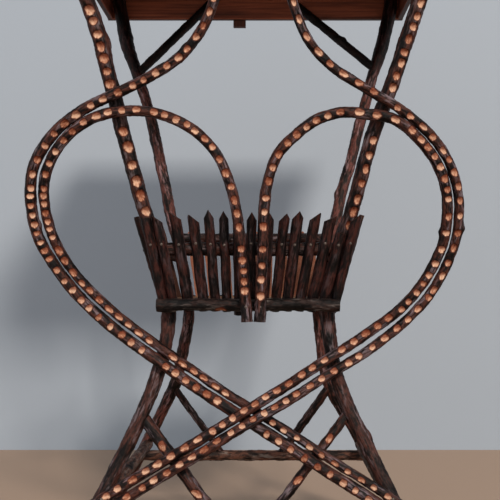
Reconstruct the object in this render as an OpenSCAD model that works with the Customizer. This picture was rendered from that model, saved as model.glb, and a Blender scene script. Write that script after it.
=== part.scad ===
// Twig table: a plank top on four bent sapling legs that draw in to a waist, a basket
// of split pickets round the waist, and two pairs of poles bent into hearts on the front.
// Millimetres. The origin is on the floor under the middle of the top, the front faces -Y.

/* [Top] */
// Height of the upper face of the top above the floor
table_h = 760; // [740:5:790]
// Width of the top, left to right
top_w = 444; // [430:2:460]
// Depth of the top, front to back
top_depth = 424; // [412:2:440]
// Thickness of the top boards
top_t = 14; // [10:1:20]
// Gap between two neighbouring top boards
top_gap = 1; // [0.5:0.5:3]
// Chamfer along the edges of the sawn boards
board_chamfer = 1; // [0.5:0.25:2]
// Height of the apron boards under the top
apron_h = 60; // [48:1:70]
// Thickness of the apron boards
apron_t = 7; // [5:0.5:10]
// Width of the upright batten on the back of the rear apron
batten_w = 17; // [12:1:26]
// Thickness of that batten
batten_t = 6; // [4:0.5:9]
// Distance of the batten from the middle, to the left
batten_x = 22; // [0:1:60]
// How far the batten hangs below the apron
batten_drop = 8; // [0:1:14]

/* [Legs] */
// Diameter of a leg
leg_d = 14; // [12:0.5:16]
// Diameter of a leg in its thick upper end
leg_top_d = 18; // [16:0.5:20]
// Height where the legs begin to thicken
swell_z = 580; // [540:5:610]
// Height over which they thicken
swell_h = 70; // [50:5:90]
// Height of the waist
waist_z = 290; // [280:1:300]
// Distance between leg centres at the floor, left to right
foot_w = 406; // [380:2:416]
// Distance between leg centres at the floor, front to back
foot_depth = 312; // [290:2:340]
// Distance between leg centres at the waist, left to right
waist_w = 158; // [146:2:170]
// Distance between leg centres at the waist, front to back
waist_depth = 164; // [152:2:176]
// Distance from the left and right ends of the top to the leg centres under it
side_inset = 35; // [30:1:40]
// Distance from the front and rear edges of the top to the leg centres under it
end_inset = 34; // [30:1:38]
// How crooked the legs are: 1 as they grew, 0 smoothly bent
crook = 1; // [0:0.1:1.2]

/* [Stretchers and braces] */
// Diameter of the stretchers
stretcher_d = 13; // [10:0.5:13]
// Height of the front and rear stretchers
stretcher_z = 102; // [92:1:108]
// Height of the side stretchers
side_stretcher_z = 118; // [110:1:130]
// How far stretchers and braces sit inside the line of the leg centres
set_in = 2; // [1:0.25:3]
// Mean diameter of the knee braces
knee_d = 10; // [8:0.5:11]
// Mean height where a knee brace meets its leg
knee_z = 197; // [188:1:204]
// Mean distance from the middle to the foot of a knee brace on the stretcher
knee_x = 30; // [25:1:40]
// Diameter of the upper rear braces
brace_d = 11; // [8:0.5:13]
// Depth of the upper end of the left upper brace below the top
left_brace_drop = 38; // [24:1:50]
// Depth of the upper end of the right upper brace below the top
right_brace_drop = 45; // [24:1:50]
// Height from the lower to the upper end of the left upper brace
left_brace_rise = 110; // [90:1:116]
// Height from the lower to the upper end of the right upper brace
right_brace_rise = 95; // [90:1:116]
// Distance from the middle to the upper end of an upper brace
brace_x = 58; // [45:1:75]

/* [Basket] */
// Height of the underside of the basket floor
floor_z = 296; // [292:1:302]
// Thickness of the floor boards
floor_t = 10; // [8:0.5:12]
// Diameter of the rails outside the pickets at the floor
rail_d = 12; // [10:0.5:14]
// How far those rails run past the corner of the basket
rail_over = 0; // [0:0.5:4]
// Diameter of the hoop bars behind the pickets
hoop_d = 13; // [10:0.5:13.5]
// Height of the front and side hoop bars
hoop_z = 355; // [346:1:362]
// Height of the rear hoop bar, just under the tips of the rear pickets
rear_hoop_z = 378; // [360:1:380]
// Height of the picket tips
tip_z = 392; // [384:1:400]
// Thickness of a split picket
picket_t = 5; // [4:0.25:6]
// Height of the cut point of a picket
point_h = 10; // [6:0.5:14]
// How far the front and rear pickets reach below the floor
picket_drop = 1; // [0:0.5:4]
// How far the side pickets reach below the floor
side_picket_drop = 3; // [0:0.5:5]
// How far outside the line of the leg centres the side pickets stand at the floor
side_foot = 5; // [4:0.25:7]
// How far their tips lean out past the corners of the front and rear rows
side_flare = 3; // [0:0.25:5]
// How far the side rows keep from the leg centres at their ends
side_gap = 9.5; // [8.5:0.25:12]
// Width of the rear and side pickets as a share of their spacing
picket_fill = 0.8; // [0.6:0.02:0.86]

/* [Heart poles] */
// Diameter of the heart poles halfway
pole_d = 10; // [8:0.2:10.4]
// Least distance between the surfaces of an outer pole and the inner pole beside it
pole_gap = 0.4; // [0.2:0.1:2]
// Reach of the hearts to each side of the middle
heart_reach = 205; // [198:1:212]
// Height of the widest place of the hearts
heart_z = 400; // [390:1:410]
// Height where the outer poles cross in the middle
cross_z = 190; // [182:1:198]
// Height where the outer poles cross the front legs near the floor
pole_nail_z = 103; // [95:1:110]
// How far the poles run past the legs there
pole_over = 16; // [12:1:24]
// How far the inner poles reach below the basket rail
pole_tail = 16; // [8:1:20]

/* [Fit] */
// Clearance between a round piece and what it lies on
fit = 0.3; // [0.2:0.05:0.4]

/* [Hidden] */
$fn = 48;
// Sides of a bent leg and of a bent pole, the distance between their rings, and the distance
// between the points of the edge to which a bar is trimmed
leg_sides = 12;
pole_sides = 10;
ring_step = table_h / 38;
trim_step = ring_step / 2;
bark = "#2a1d1b";
raw_wood = "#b98a58";
old_board = "#4a2a1c";

// Four boards make the top
top_boards = 4;
board_w = (top_depth - (top_boards - 1) * top_gap) / top_boards;

// Distance between leg centres under the top, left to right and front to back
spread_w = top_w - 2 * side_inset;
spread_depth = top_depth - 2 * end_inset;

// Height of the legs and of the lower edge of the aprons
leg_h = table_h - top_t;
apron_z = leg_h - apron_h;
// Inner faces of the side aprons and of the front and rear aprons
apron_x = spread_w / 2 + leg_top_d / 2 + fit;
apron_y = spread_depth / 2 + leg_top_d / 2 + fit;

// The bend of a leg: share of its spread against share of the height from the waist
upper_bend = [
    [0, 0], [0.1, 0.06], [0.23, 0.2], [0.46, 0.45], [0.65, 0.675],
    [0.77, 0.85], [0.84, 0.92], [0.9, 0.97], [1, 1]
];
lower_bend = [[0, 0], [0.1, 0.025], [0.22, 0.09], [0.35, 0.2], [0.5, 0.36], [0.6, 0.475], [1, 1]];

// Heights over which the slopes of the bends are taken
slope_step = table_h / 760;

// Slope of a bend at one of its points, level at the waist
function bend_slope(p, i) =
    i == 0 ? 0
    : i == len(p) - 1 ? (p[i][1] - p[i - 1][1]) / (p[i][0] - p[i - 1][0])
    : (p[i + 1][1] - p[i - 1][1]) / (p[i + 1][0] - p[i - 1][0]);

// Smooth value between two values with their slopes over a distance h
function blend(a, slope_a, b, slope_b, h, u) =
    a * (2 * u * u * u - 3 * u * u + 1) + slope_a * h * (u * u * u - 2 * u * u + u)
    + b * (3 * u * u - 2 * u * u * u) + slope_b * h * (u * u * u - u * u);

// Value of a bend at the share t
function bend(p, t) =
    let (i = max([for (k = [0:len(p) - 2]) if (p[k][0] <= t || k == 0) k]))
    let (h = p[i + 1][0] - p[i][0])
    blend(p[i][1], bend_slope(p, i), p[i + 1][1], bend_slope(p, i + 1), h, (t - p[i][0]) / h);

function leg_share(z) =
    z >= waist_z ? bend(upper_bend, (z - waist_z) / (leg_h - waist_z))
    : bend(lower_bend, (waist_z - z) / waist_z);

// Distance of a leg's centre line from the middle, across and front to back
function leg_x(z) = (waist_w + leg_share(z) * ((z >= waist_z ? spread_w : foot_w) - waist_w)) / 2;
function leg_y(z) =
    (waist_depth + leg_share(z) * ((z >= waist_z ? spread_depth : foot_depth) - waist_depth)) / 2;
// Their slopes against the height
function lean_x(z) = (leg_x(z + slope_step) - leg_x(z - slope_step)) / (2 * slope_step);
function lean_y(z) = (leg_y(z + slope_step) - leg_y(z - slope_step)) / (2 * slope_step);

// The crooks of the legs, each on one leg: [side, end, lowest, highest, how far outwards], the
// heights in hundredths of the leg, the distance in leg diameters, inwards where negative
crooks = [
    [-1, -1, 58, 92, -0.36], [1, -1, 58, 92, 0.5], [-1, 1, 54, 86, -0.21],
    [1, 1, 54, 86, 0.14], [1, 1, 17, 35, -0.5], [-1, 1, 17, 35, -0.14],
    [-1, -1, 8, 38, 0.18], [1, -1, 23, 37, -0.2]
];
function crook_x(side, end, z) =
    let (share = 100 * z / leg_h)
    let (found = [
        for (c = crooks)
        if (c[0] == side && c[1] == end && share > c[2] && share < c[3])
        c[4] * pow(sin(180 * (share - c[2]) / (c[3] - c[2])), 2)
    ])
    crook * leg_d * (len(found) > 0 ? found[0] : 0);

// Distance from the middle of one leg's own centre line, and its slope
function centre_x(side, end, z) = leg_x(z) + crook_x(side, end, z);
function slant_x(side, end, z) =
    (centre_x(side, end, z + slope_step) - centre_x(side, end, z - slope_step)) / (2 * slope_step);
// Radius of a leg
function leg_r(z) =
    let (u = max(0, min(1, (z - swell_z) / swell_h)))
    leg_d / 2 + (leg_top_d - leg_d) / 2 * u * u * (3 - 2 * u);
// Distance from the middle of a line that lies off the leg's centre by off, square to the leg
function beside_y(z, off) = leg_y(z) + off * sqrt(1 + lean_y(z) * lean_y(z));
function beside_x(side, end, z, off) =
    centre_x(side, end, z) + off * sqrt(1 + pow(slant_x(side, end, z), 2));

// Inner faces of the front and rear pickets, and how wide these rows are: straight lines that
// touch the outsides of the legs
picket_low_z = floor_z - max(picket_drop, side_picket_drop);
picket_lean_x = (leg_x(tip_z) - leg_x(picket_low_z)) / (tip_z - picket_low_z);
picket_lean_y = (leg_y(tip_z) - leg_y(picket_low_z)) / (tip_z - picket_low_z);
function basket_x(z) =
    leg_x(picket_low_z) + (leg_d / 2 + fit) * sqrt(1 + picket_lean_x * picket_lean_x)
    + (z - picket_low_z) * picket_lean_x;
function basket_y(z) =
    leg_y(picket_low_z) + (leg_d / 2 + fit) * sqrt(1 + picket_lean_y * picket_lean_y)
    + (z - picket_low_z) * picket_lean_y;
// Inner faces of the side pickets, which lean out past the corners of those rows
side_lean = (basket_x(tip_z) + side_flare - leg_x(floor_z) - side_foot) / (tip_z - floor_z);
function side_x(z) = leg_x(floor_z) + side_foot + (z - floor_z) * side_lean;
// Thickness of something that lies square on a leaning picket face, measured level
function out_x(t) = t * sqrt(1 + side_lean * side_lean);
function out_y(t) = t * sqrt(1 + picket_lean_y * picket_lean_y);

rail_z = floor_z + floor_t / 2;
rail_y = basket_y(rail_z) + out_y(picket_t + fit + rail_d / 2);
hoop_x = side_x(hoop_z) - out_x(fit + hoop_d / 2);
function hoop_y(z) = basket_y(z) - out_y(fit + hoop_d / 2);

// Each knee brace's own share of knee_z, knee_x and knee_d
front_left_knee = [0.98, 1, 1.2];
front_right_knee = [1, 0.7, 0.94];
rear_left_knee = [0.985, 1.3, 0.86];
rear_right_knee = [0.985, 1.1, 1.06];

// A tube through rings of points, closed at both ends
module skin(rings) {
    n = len(rings[0]);
    last = len(rings) - 1;
    points = [for (ring = rings) for (p = ring) p];
    walls = [
        for (k = [0:last - 1]) for (j = [0:n - 1])
        let (a = k * n + j, b = k * n + (j + 1) % n)
        each [[a, a + n, b + n], [a, b + n, b]]
    ];
    caps = [[for (j = [0:n - 1]) j], [for (j = [n - 1:-1:0]) last * n + j]];
    polyhedron(points = points, faces = concat(walls, caps), convexity = 10);
}

// A bent leg, cut level at the floor and under the top
module leg(side, end) {
    rings = ceil(leg_h / ring_step);
    color(bark) skin([
        for (k = [0:rings])
        let (z = leg_h * k / rings)
        let (lean = [side * slant_x(side, end, z), end * lean_y(z)])
        let (tilt = max(norm(lean), 0.001))
        [
            for (j = [0:leg_sides - 1])
            let (q = leg_r(z) * [cos(360 * j / leg_sides), sin(360 * j / leg_sides)])
            let (grow = lean * (q * lean) * (sqrt(1 + tilt * tilt) - 1) / (tilt * tilt))
            [side * centre_x(side, end, z) + q[0] + grow[0], end * leg_y(z) + q[1] + grow[1], z]
        ]
    ]);
}

// Direction of a route at point i
function heading(p, i) =
    i == 0 ? (p[1] - p[0]) / norm(p[1] - p[0])
    : i == len(p) - 1 ? (p[i] - p[i - 1]) / norm(p[i] - p[i - 1])
    : let (back = norm(p[i] - p[i - 1]), ahead = norm(p[i + 1] - p[i]))
    ((p[i] - p[i - 1]) * ahead / back + (p[i + 1] - p[i]) * back / ahead) / (back + ahead);

// A smooth route through hand placed points
function smooth(p) = [
    for (i = [0:len(p) - 2])
    let (h = norm(p[i + 1] - p[i]), steps = max(1, ceil(h / ring_step)))
    for (k = [0:steps - (i == len(p) - 2 ? 0 : 1)])
    blend(p[i], heading(p, i), p[i + 1], heading(p, i + 1), h, k / steps)
];

// Height of a place on a heart: 0 at the widest place, 100 at the apron, -100 at the crossing
function heart_level(share) =
    heart_z + share / 100 * (share > 0 ? apron_z - heart_z : heart_z - cross_z);

// A heart point from [x, height, lift]: x in hundredths of the reach, lift from 0 to 1 where
// the pole passes in front of the other pair. The fourth number of an outer point is how far
// the inner pole's centre line keeps off, in pole diameters
function heart_point(p) = [p[0] * heart_reach / 100, heart_level(p[1]), p[2]];

// Routes of the outer poles from the apron round the heart to the crossing
left_route = [
    [-4.5, 100, 0], [-6, 86, 0], [-9.5, 72, 0], [-14, 60.5, 0], [-19, 52.8, 0], [-27.7, 45.3, 0],
    [-41.2, 39, 0], [-55.8, 34.1, 0], [-71, 29.3, 0, 1], [-82.7, 24.2, 0, 1],
    [-92, 17.3, 0, 1.08], [-98.5, 8.6, 0, 1.2], [-100, -3, 0, 1.23], [-96.7, -19, 0, 1.23],
    [-90, -31, 0, 1.16], [-82, -41.5, 0, 1.13], [-70.3, -53, 0, 1.18], [-55.6, -64.4, 0, 1.16],
    [-39.3, -75.3, 0, 1.1], [-19.3, -88.4, 0, 1.08], [0.5, -100, 0, 1.06]
];
right_route = [
    [11, 100, 0], [12, 86, 0], [15.5, 72, 0], [20, 60.5, 0], [26.2, 50.2, 0], [36.2, 42.3, 0],
    [53.2, 34.8, 0], [68.5, 28.7, 0, 1], [80.3, 22.5, 0, 1], [90.1, 14.4, 0, 1],
    [96, 4.9, 0, 1.02], [97.9, -7, 0, 1.07], [97.1, -18, 0, 1.1], [92.9, -30.3, 0, 1.12],
    [86.9, -41.2, 0, 1.15], [75.8, -53.8, 0, 1.2], [59.1, -66.8, 0, 1.34],
    [36, -80, 0.7, 1.26], [17, -91, 1, 1.18], [0.5, -100, 1, 1.06]
];
// Place across of the feet of the inner poles, in hundredths of the reach
left_foot = -0.5;
right_foot = 5.4;
// From there the inner poles rise past the basket rail and hook over in these heart points
left_hook = [[-1.6, -36, 0], [-2.9, -21, 0], [-5, -5, 0], [-8, 5, 0], [-13, 13.5, 0], [-20, 19.5, 0],
    [-30, 24.5, 0], [-42, 27.5, 0], [-55, 28, 0]];
right_hook = [[6.4, -36, 0], [7, -21, 0], [7.5, -5, 0], [9.5, 6, 0], [14.5, 15, 0],
    [22, 20.5, 0], [32, 25.5, 0], [43, 27.5, 0], [55, 27, 0]];
// First point of each outer route that an inner pole runs beside
left_beside = 8;
right_beside = 7;
// The thickness of a pole in pole diameters against the share of its length
left_outer_taper = [[0, 0.84], [0.35, 1], [0.65, 1.13], [1, 1.13]];
left_inner_taper = [[0, 1.12], [0.15, 0.98], [0.55, 1], [0.8, 0.9], [1, 0.86]];
right_outer_taper = [[0, 0.82], [0.3, 0.9], [0.7, 0.98], [1, 1]];
right_inner_taper = [[0, 1.14], [0.15, 1.03], [0.6, 1.03], [1, 1]];

// A point beside an outer pole, on the inside of its heart
function inside(p, i, side, apart) =
    let (t = heading(p, i), step = pole_d * apart + pole_gap)
    p[i] + side * step * [t[1], -t[0], 0] / norm([t[0], t[1]]);

// The last stretch: from the crossing straight to the opposite front leg and past it
function to_leg(from, side, nail_z, lift) =
    let (nail = [-side * leg_x(nail_z), nail_z, 0])
    let (ahead = (nail - from) / norm([nail[0] - from[0], nail[1] - from[1]]))
    [
        [from[0] * 0.72 + nail[0] * 0.28, from[1] * 0.72 + nail[1] * 0.28, lift],
        [from[0] * 0.4 + nail[0] * 0.6, from[1] * 0.4 + nail[1] * 0.6, lift * 0.45],
        nail,
        [nail[0] + ahead[0] * pole_over, nail[1] + ahead[1] * pole_over, 0]
    ];

function outer_points(route, side) =
    let (p = [for (q = route) heart_point(q)], last = p[len(p) - 1])
    concat(
        [[p[0][0], leg_h - apron_h / 4, 0]], p,
        to_leg(last, side, pole_nail_z, last[2])
    );

// An inner pole stands in front of the basket rail, and its hook leans over to the legs
function inner_points(route, foot, hook, first, side) =
    let (p = [for (q = route) heart_point(q)])
    let (beside = [for (i = [first:len(p) - 1]) inside(p, i, side, route[i][3])])
    let (last = beside[len(beside) - 1])
    concat(
        [[foot * heart_reach / 100, rail_z - pole_tail, 0]],
        [for (q = hook) heart_point(q)],
        beside,
        to_leg(last, side, pole_nail_z + pair_step, last[2])
    );

// Place in Y of a pole of radius r that lies on the fronts of the legs, and inside the front
// apron at the top
function pole_y(z, r) = -min(beside_y(z, leg_r(z) + fit + r), apron_y - fit - r);
// The upright stretch of an inner pole leans from the rail to the legs
function hook_y(z, hook_top, r) =
    let (low = -(rail_y + rail_d / 2 + fit + r))
    z < rail_z ? low : low + (pole_y(hook_top, r) - low) * (z - rail_z) / (hook_top - rail_z);

// The radius of a pole at point k of last
function pole_r(taper, k, last) = pole_d / 2 * lookup(k / last, taper);

// A round pole along a route of [x, y, z]
module pole(path, taper) {
    last = len(path) - 1;
    color(bark) skin([
        for (k = [0:last])
        let (t = heading(path, k))
        let (across = cross([0, 1, 0], t) / norm(cross([0, 1, 0], t)))
        let (up = cross(t, across) / norm(t))
        let (r = pole_r(taper, k, last))
        [
            for (j = [0:pole_sides - 1])
            let (a = 90 + 360 * j / pole_sides)
            path[k] + r * (cos(a) * across + sin(a) * up)
        ]
    ]);
}

// Height on the leg between the nails of the outer and the inner pole of a pair, from the
// slope of the poles there and the lean of the leg, so that the poles run side by side
pole_slope = (cross_z - pole_nail_z) / leg_x(pole_nail_z);
pair_step =
    (pole_d + pole_gap) * sqrt(1 + pole_slope * pole_slope)
    / (1 + pole_slope * lean_x(pole_nail_z));

// The left poles are this many pole diameters thick at the crossing, where the right ones
// step forward to pass over them
crossing_share = 1.15;
pass_over = pole_d * crossing_share + 2 * fit;

module outer_pole(route, side, taper) {
    flat = smooth(outer_points(route, side));
    last = len(flat) - 1;
    pole([
        for (k = [0:last])
        let (p = flat[k])
        [p[0], pole_y(p[1], pole_r(taper, k, last)) - p[2] * pass_over, p[1]]
    ], taper);
}

module inner_pole(route, foot, hook, first, side, taper) {
    flat = smooth(inner_points(route, foot, hook, first, side));
    last = len(flat) - 1;
    hook_top = max([for (p = flat) p[1]]);
    top = [for (k = [0:last]) if (flat[k][1] == hook_top) k][0];
    pole([
        for (k = [0:last])
        let (p = flat[k], r = pole_r(taper, k, last))
        [
            p[0],
            k < top ? hook_y(p[1], hook_top, r) : pole_y(p[1], r) - p[2] * pass_over,
            p[1]
        ]
    ], taper);
}

// A sawn board along X with chamfered long edges, low corner at the origin
module board(length, depth, height) {
    c = board_chamfer;
    rotate([90, 0, 90]) linear_extrude(length) polygon([
        [c, 0], [depth - c, 0], [depth, c], [depth, height - c],
        [depth - c, height], [c, height], [0, height - c], [0, c]
    ]);
}

module top_board(i) {
    color(old_board)
        translate([-top_w / 2, -top_depth / 2 + i * (board_w + top_gap), leg_h])
        board(top_w, board_w, top_t);
}

// The front and rear aprons cover the ends of the side aprons
module end_apron(end) {
    color(old_board)
        translate([-apron_x - apron_t, end > 0 ? apron_y : -apron_y - apron_t, apron_z])
        board(2 * (apron_x + apron_t), apron_t, apron_h);
}

module side_apron(side) {
    color(old_board)
        translate([side > 0 ? apron_x + apron_t : -apron_x, -apron_y, apron_z])
        rotate(90)
        board(2 * apron_y, apron_t, apron_h);
}

module batten() {
    color(old_board)
        translate([-batten_x - batten_w / 2, apron_y + apron_t, apron_z - batten_drop])
        cube([batten_w, batten_t, apron_h + batten_drop]);
}

// The open space between the two front legs or the two rear ones, up to the legs' faces
module between_sides(end, low, high) {
    steps = ceil((high - low) / trim_step);
    edge = [
        for (side = [-1, 1])
        [for (k = [0:steps])
            let (z = low + (high - low) * k / steps)
            [side * beside_x(side, end, z, -leg_r(z) - fit), z]]
    ];
    rotate([90, 0, 0]) linear_extrude(2 * spread_depth, center = true)
        polygon(concat(edge[1], [for (k = [steps:-1:0]) edge[0][k]]));
}

// The same space between the front and rear legs, seen from the side
module between_ends(low, high) {
    steps = ceil((high - low) / trim_step);
    edge = [
        for (k = [0:steps])
        let (z = low + (high - low) * k / steps)
        [beside_y(z, -leg_r(z) - fit), z]
    ];
    rotate([90, 0, 90]) linear_extrude(2 * spread_w, center = true)
        polygon(concat(edge, [for (k = [steps:-1:0]) [-edge[k][0], edge[k][1]]]));
}

// A round bar across the table, scribed to the legs at both ends
module bar_across(end, y, z, d) {
    color(bark) intersection() {
        translate([0, end * y, z])
            rotate([0, 90, 0])
            cylinder(d = d, h = foot_w, center = true);
        between_sides(end, z - d, z + d);
    }
}

// A round bar from front to back, scribed to the legs at both ends
module bar_along(x, z, d) {
    color(bark) intersection() {
        translate([x, 0, z]) rotate([90, 0, 0]) cylinder(d = d, h = foot_depth, center = true);
        between_ends(z - d, z + d);
    }
}

// A side stretcher
module side_stretcher(side) {
    bar_along(side * (leg_x(side_stretcher_z) - set_in), side_stretcher_z, stretcher_d);
}

// A straight round stick from a to b, longer by more at each end
module stick(a, b, d, more) {
    way = b - a;
    translate(a)
        rotate([0, acos(way[2] / norm(way)), atan2(way[1], way[0])])
        translate([0, 0, -more])
        cylinder(d = d, h = norm(way) + 2 * more);
}

// A knee brace from a leg down to the stretcher, scribed to both, with its own shares
module knee_brace(side, end, own) {
    high_z = knee_z * own[0];
    d = knee_d * own[2];
    seat_z = stretcher_z + stretcher_d / 2 + fit;
    color(bark) intersection() {
        stick(
            [side * centre_x(side, end, high_z), end * (leg_y(high_z) - set_in), high_z],
            [side * knee_x * own[1], end * (leg_y(stretcher_z) - set_in), stretcher_z], d, d
        );
        between_sides(end, seat_z, high_z + 2 * d);
    }
}

// An upper rear brace from a leg up to the inside of the rear apron
module upper_brace(side, drop, rise) {
    high_z = leg_h - drop;
    low_z = high_z - rise;
    color(bark) intersection() {
        stick(
            [side * centre_x(side, 1, low_z), leg_y(low_z) - set_in, low_z],
            [side * brace_x, apron_y - fit - brace_d / 2, high_z], brace_d, 0
        );
        between_sides(1, low_z - 2 * brace_d, high_z + brace_d);
    }
}

// A bark rail over the feet of the pickets
module rail(end) {
    color(bark)
        translate([0, end * rail_y, rail_z])
        rotate([0, 90, 0])
        cylinder(d = rail_d, h = 2 * (basket_x(rail_z) + rail_over), center = true);
}

// A floor board, half of the basket's floor, notched round two legs
module floor_board(end) {
    half_x = side_x(floor_z) - fit;
    half_y = basket_y(floor_z) - fit;
    notch_x = beside_x(1, end, floor_z, -leg_d / 2 - fit);
    notch_y = beside_y(floor_z, -leg_d / 2 - fit);
    color(raw_wood) translate([0, 0, floor_z]) difference() {
        translate([-half_x, end > 0 ? top_gap / 2 : -half_y, 0])
            cube([2 * half_x, half_y - top_gap / 2, floor_t]);
        for (side = [-1, 1])
            translate([side * (notch_x + leg_d), end * (notch_y + leg_d), floor_t / 2])
            cube([2 * leg_d, 2 * leg_d, 2 * floor_t], center = true);
    }
}

// A split picket: flat inside on y = 0, round outside towards -Y, with a cut point
module picket(w, length, tip, point) {
    r = (w * w / 4 + picket_t * picket_t) / (2 * picket_t);
    e = w / 2 + 1;
    drop = point * point_h;
    intersection() {
        translate([0, r - picket_t, 0]) cylinder(r = r, h = length);
        rotate([90, 0, 0]) linear_extrude(2 * picket_t) polygon([
            [-e, 0], [e, 0], [e, length - drop * min(1, 1 - tip)],
            [tip * e, length], [-e, length - drop * min(1, 1 + tip)]
        ]);
    }
}

// A row of pickets on the front face of a basket that is as wide as half_low and half_high
// Each entry is [foot, head, width, tip, point, short, low]: the place of the foot and of the
// head in steps of the spacing, the width in steps, the place of the tip from -1 to 1, the
// share of the point's height, and how much the picket is short at its tip and long at its
// foot, in heights of the point
module picket_row(row, face, lean, half_low, half_high, foot_z) {
    count = len(row);
    tilt = atan(lean);
    color(bark) for (p = row) {
        low = foot_z - p[6] * point_h;
        foot_x = p[0] * 2 * half_low / count;
        head_x = p[1] * 2 * half_high / count;
        rise = (tip_z - low) / cos(tilt);
        turn = atan2(head_x - foot_x, rise);
        translate([foot_x, -face - (low - floor_z) * lean, low])
            rotate([tilt, 0, 0])
            rotate([0, turn, 0])
            picket(
                p[2] * 2 * half_low / count, (rise - p[5] * point_h) / cos(turn), p[3], p[4]
            );
    }
}

// The fifteen front pickets as they stand, left to right
front_row = [
    [-7.05, -6.95, 0.84, -0.2, 0.2, 0.7, 0],
    [-6.2, -6.2, 0.8, -0.7, 0.9, 0.5, 0],
    [-5, -4.95, 0.96, -0.8, 1, 0.1, 0.05],
    [-3.7, -3.75, 0.92, -0.6, 1, 0.4, 0],
    [-2.75, -2.65, 0.84, 0, 1, 0, 0],
    [-1.8, -1.65, 0.8, 0, 1, 0.1, 0.05],
    [-0.8, -0.7, 0.82, 0.1, 0.9, 0.6, 0.4],
    [0.15, 0.25, 0.82, 0, 1, 0.2, 0],
    [1.2, 1.4, 0.96, 0.2, 1, 0.3, 0],
    [2.2, 2.5, 0.86, 0.3, 1, 0.3, 0.05],
    [3.2, 3.4, 0.94, 0.2, 1, 0.1, 0],
    [4.2, 4.6, 0.9, 0.7, 1, 0.2, 0],
    [5.2, 5.65, 0.94, 0.8, 0.8, 0.5, 0.05],
    [6.2, 6.6, 0.94, 0, 0.1, 2.2, 0],
    [7.15, 7.4, 0.86, 0.5, 1, 0.4, 0]
];

// Numbers of pickets in the rear row and in a side row
rear_count = 11;
side_count = 12;

// A regular row of count pickets whose tips wander a little
function plain_row(count) = [
    for (i = [0:count - 1])
    let (at = i - (count - 1) / 2, wander = (i * 7 + count) % 5 / 5 - 0.4)
    [at, at + wander / 6, picket_fill, wander, 0.9, 0.2 + 0.4 * abs(wander), 0]
];

module end_pickets(end, row) {
    rotate(end > 0 ? 180 : 0)
        picket_row(
            row, basket_y(floor_z), picket_lean_y, basket_x(floor_z), basket_x(tip_z),
            floor_z - picket_drop
        );
}

// The side rows stand between the front and rear legs
module side_pickets(side, row) {
    rotate(side > 0 ? 90 : -90)
        picket_row(
            row, side_x(floor_z), side_lean, leg_y(floor_z) - side_gap, leg_y(tip_z) - side_gap,
            floor_z - side_picket_drop
        );
}

// The legs, seen from the front
module front_left_leg() leg(-1, -1);
module front_right_leg() leg(1, -1);
module rear_left_leg() leg(-1, 1);
module rear_right_leg() leg(1, 1);

// The poles of the left and right hearts
module left_outer_pole() outer_pole(left_route, -1, left_outer_taper);
module left_inner_pole()
    inner_pole(left_route, left_foot, left_hook, left_beside, -1, left_inner_taper);
module right_outer_pole() outer_pole(right_route, 1, right_outer_taper);
module right_inner_pole()
    inner_pole(right_route, right_foot, right_hook, right_beside, 1, right_inner_taper);

// The top boards from front to back
module top_board_1() top_board(0);
module top_board_2() top_board(1);
module top_board_3() top_board(2);
module top_board_4() top_board(3);

// The aprons under the top and the batten on the rear one
module front_apron() end_apron(-1);
module rear_apron() end_apron(1);
module left_apron() side_apron(-1);
module right_apron() side_apron(1);
module rear_batten() batten();

// The braces
module left_upper_brace() upper_brace(-1, left_brace_drop, left_brace_rise);
module right_upper_brace() upper_brace(1, right_brace_drop, right_brace_rise);
module front_left_knee_brace() knee_brace(-1, -1, front_left_knee);
module front_right_knee_brace() knee_brace(1, -1, front_right_knee);
module rear_left_knee_brace() knee_brace(-1, 1, rear_left_knee);
module rear_right_knee_brace() knee_brace(1, 1, rear_right_knee);

// The stretchers near the floor
module front_stretcher() bar_across(-1, leg_y(stretcher_z) - set_in, stretcher_z, stretcher_d);
module rear_stretcher() bar_across(1, leg_y(stretcher_z) - set_in, stretcher_z, stretcher_d);
module left_stretcher() side_stretcher(-1);
module right_stretcher() side_stretcher(1);

// The basket: rails, hoop bars, floor and pickets
module front_rail() rail(-1);
module rear_rail() rail(1);
module front_hoop() bar_across(-1, hoop_y(hoop_z), hoop_z, hoop_d);
module rear_hoop() bar_across(1, hoop_y(rear_hoop_z), rear_hoop_z, hoop_d);
module left_hoop() bar_along(-hoop_x, hoop_z, hoop_d);
module right_hoop() bar_along(hoop_x, hoop_z, hoop_d);
module front_floor_board() floor_board(-1);
module rear_floor_board() floor_board(1);
module front_pickets() end_pickets(-1, front_row);
module rear_pickets() end_pickets(1, plain_row(rear_count));
module left_pickets() side_pickets(-1, plain_row(side_count));
module right_pickets() side_pickets(1, plain_row(side_count));

front_left_leg();
front_right_leg();
rear_left_leg();
rear_right_leg();
left_outer_pole();
left_inner_pole();
right_outer_pole();
right_inner_pole();
top_board_1();
top_board_2();
top_board_3();
top_board_4();
front_apron();
rear_apron();
left_apron();
right_apron();
rear_batten();
left_upper_brace();
right_upper_brace();
front_left_knee_brace();
front_right_knee_brace();
rear_left_knee_brace();
rear_right_knee_brace();
front_stretcher();
rear_stretcher();
left_stretcher();
right_stretcher();
front_rail();
rear_rail();
front_hoop();
rear_hoop();
left_hoop();
right_hoop();
front_floor_board();
rear_floor_board();
front_pickets();
rear_pickets();
left_pickets();
right_pickets();
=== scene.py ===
# %% [markdown]
# # A twig table
#
# A plank top stands on four bent saplings. They draw in to a waist, where a basket of split
# pickets hangs, and two pairs of poles are bent into hearts on the front. A knife has scooped
# rows of chips out of the dark bark of the poles and front legs. In this notebook each stick
# is a grid of points worked out from its centre line, the chips are cut into those points,
# and one family of materials turns the grids into bark, raw wood and old boards.

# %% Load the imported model
import itertools

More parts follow.
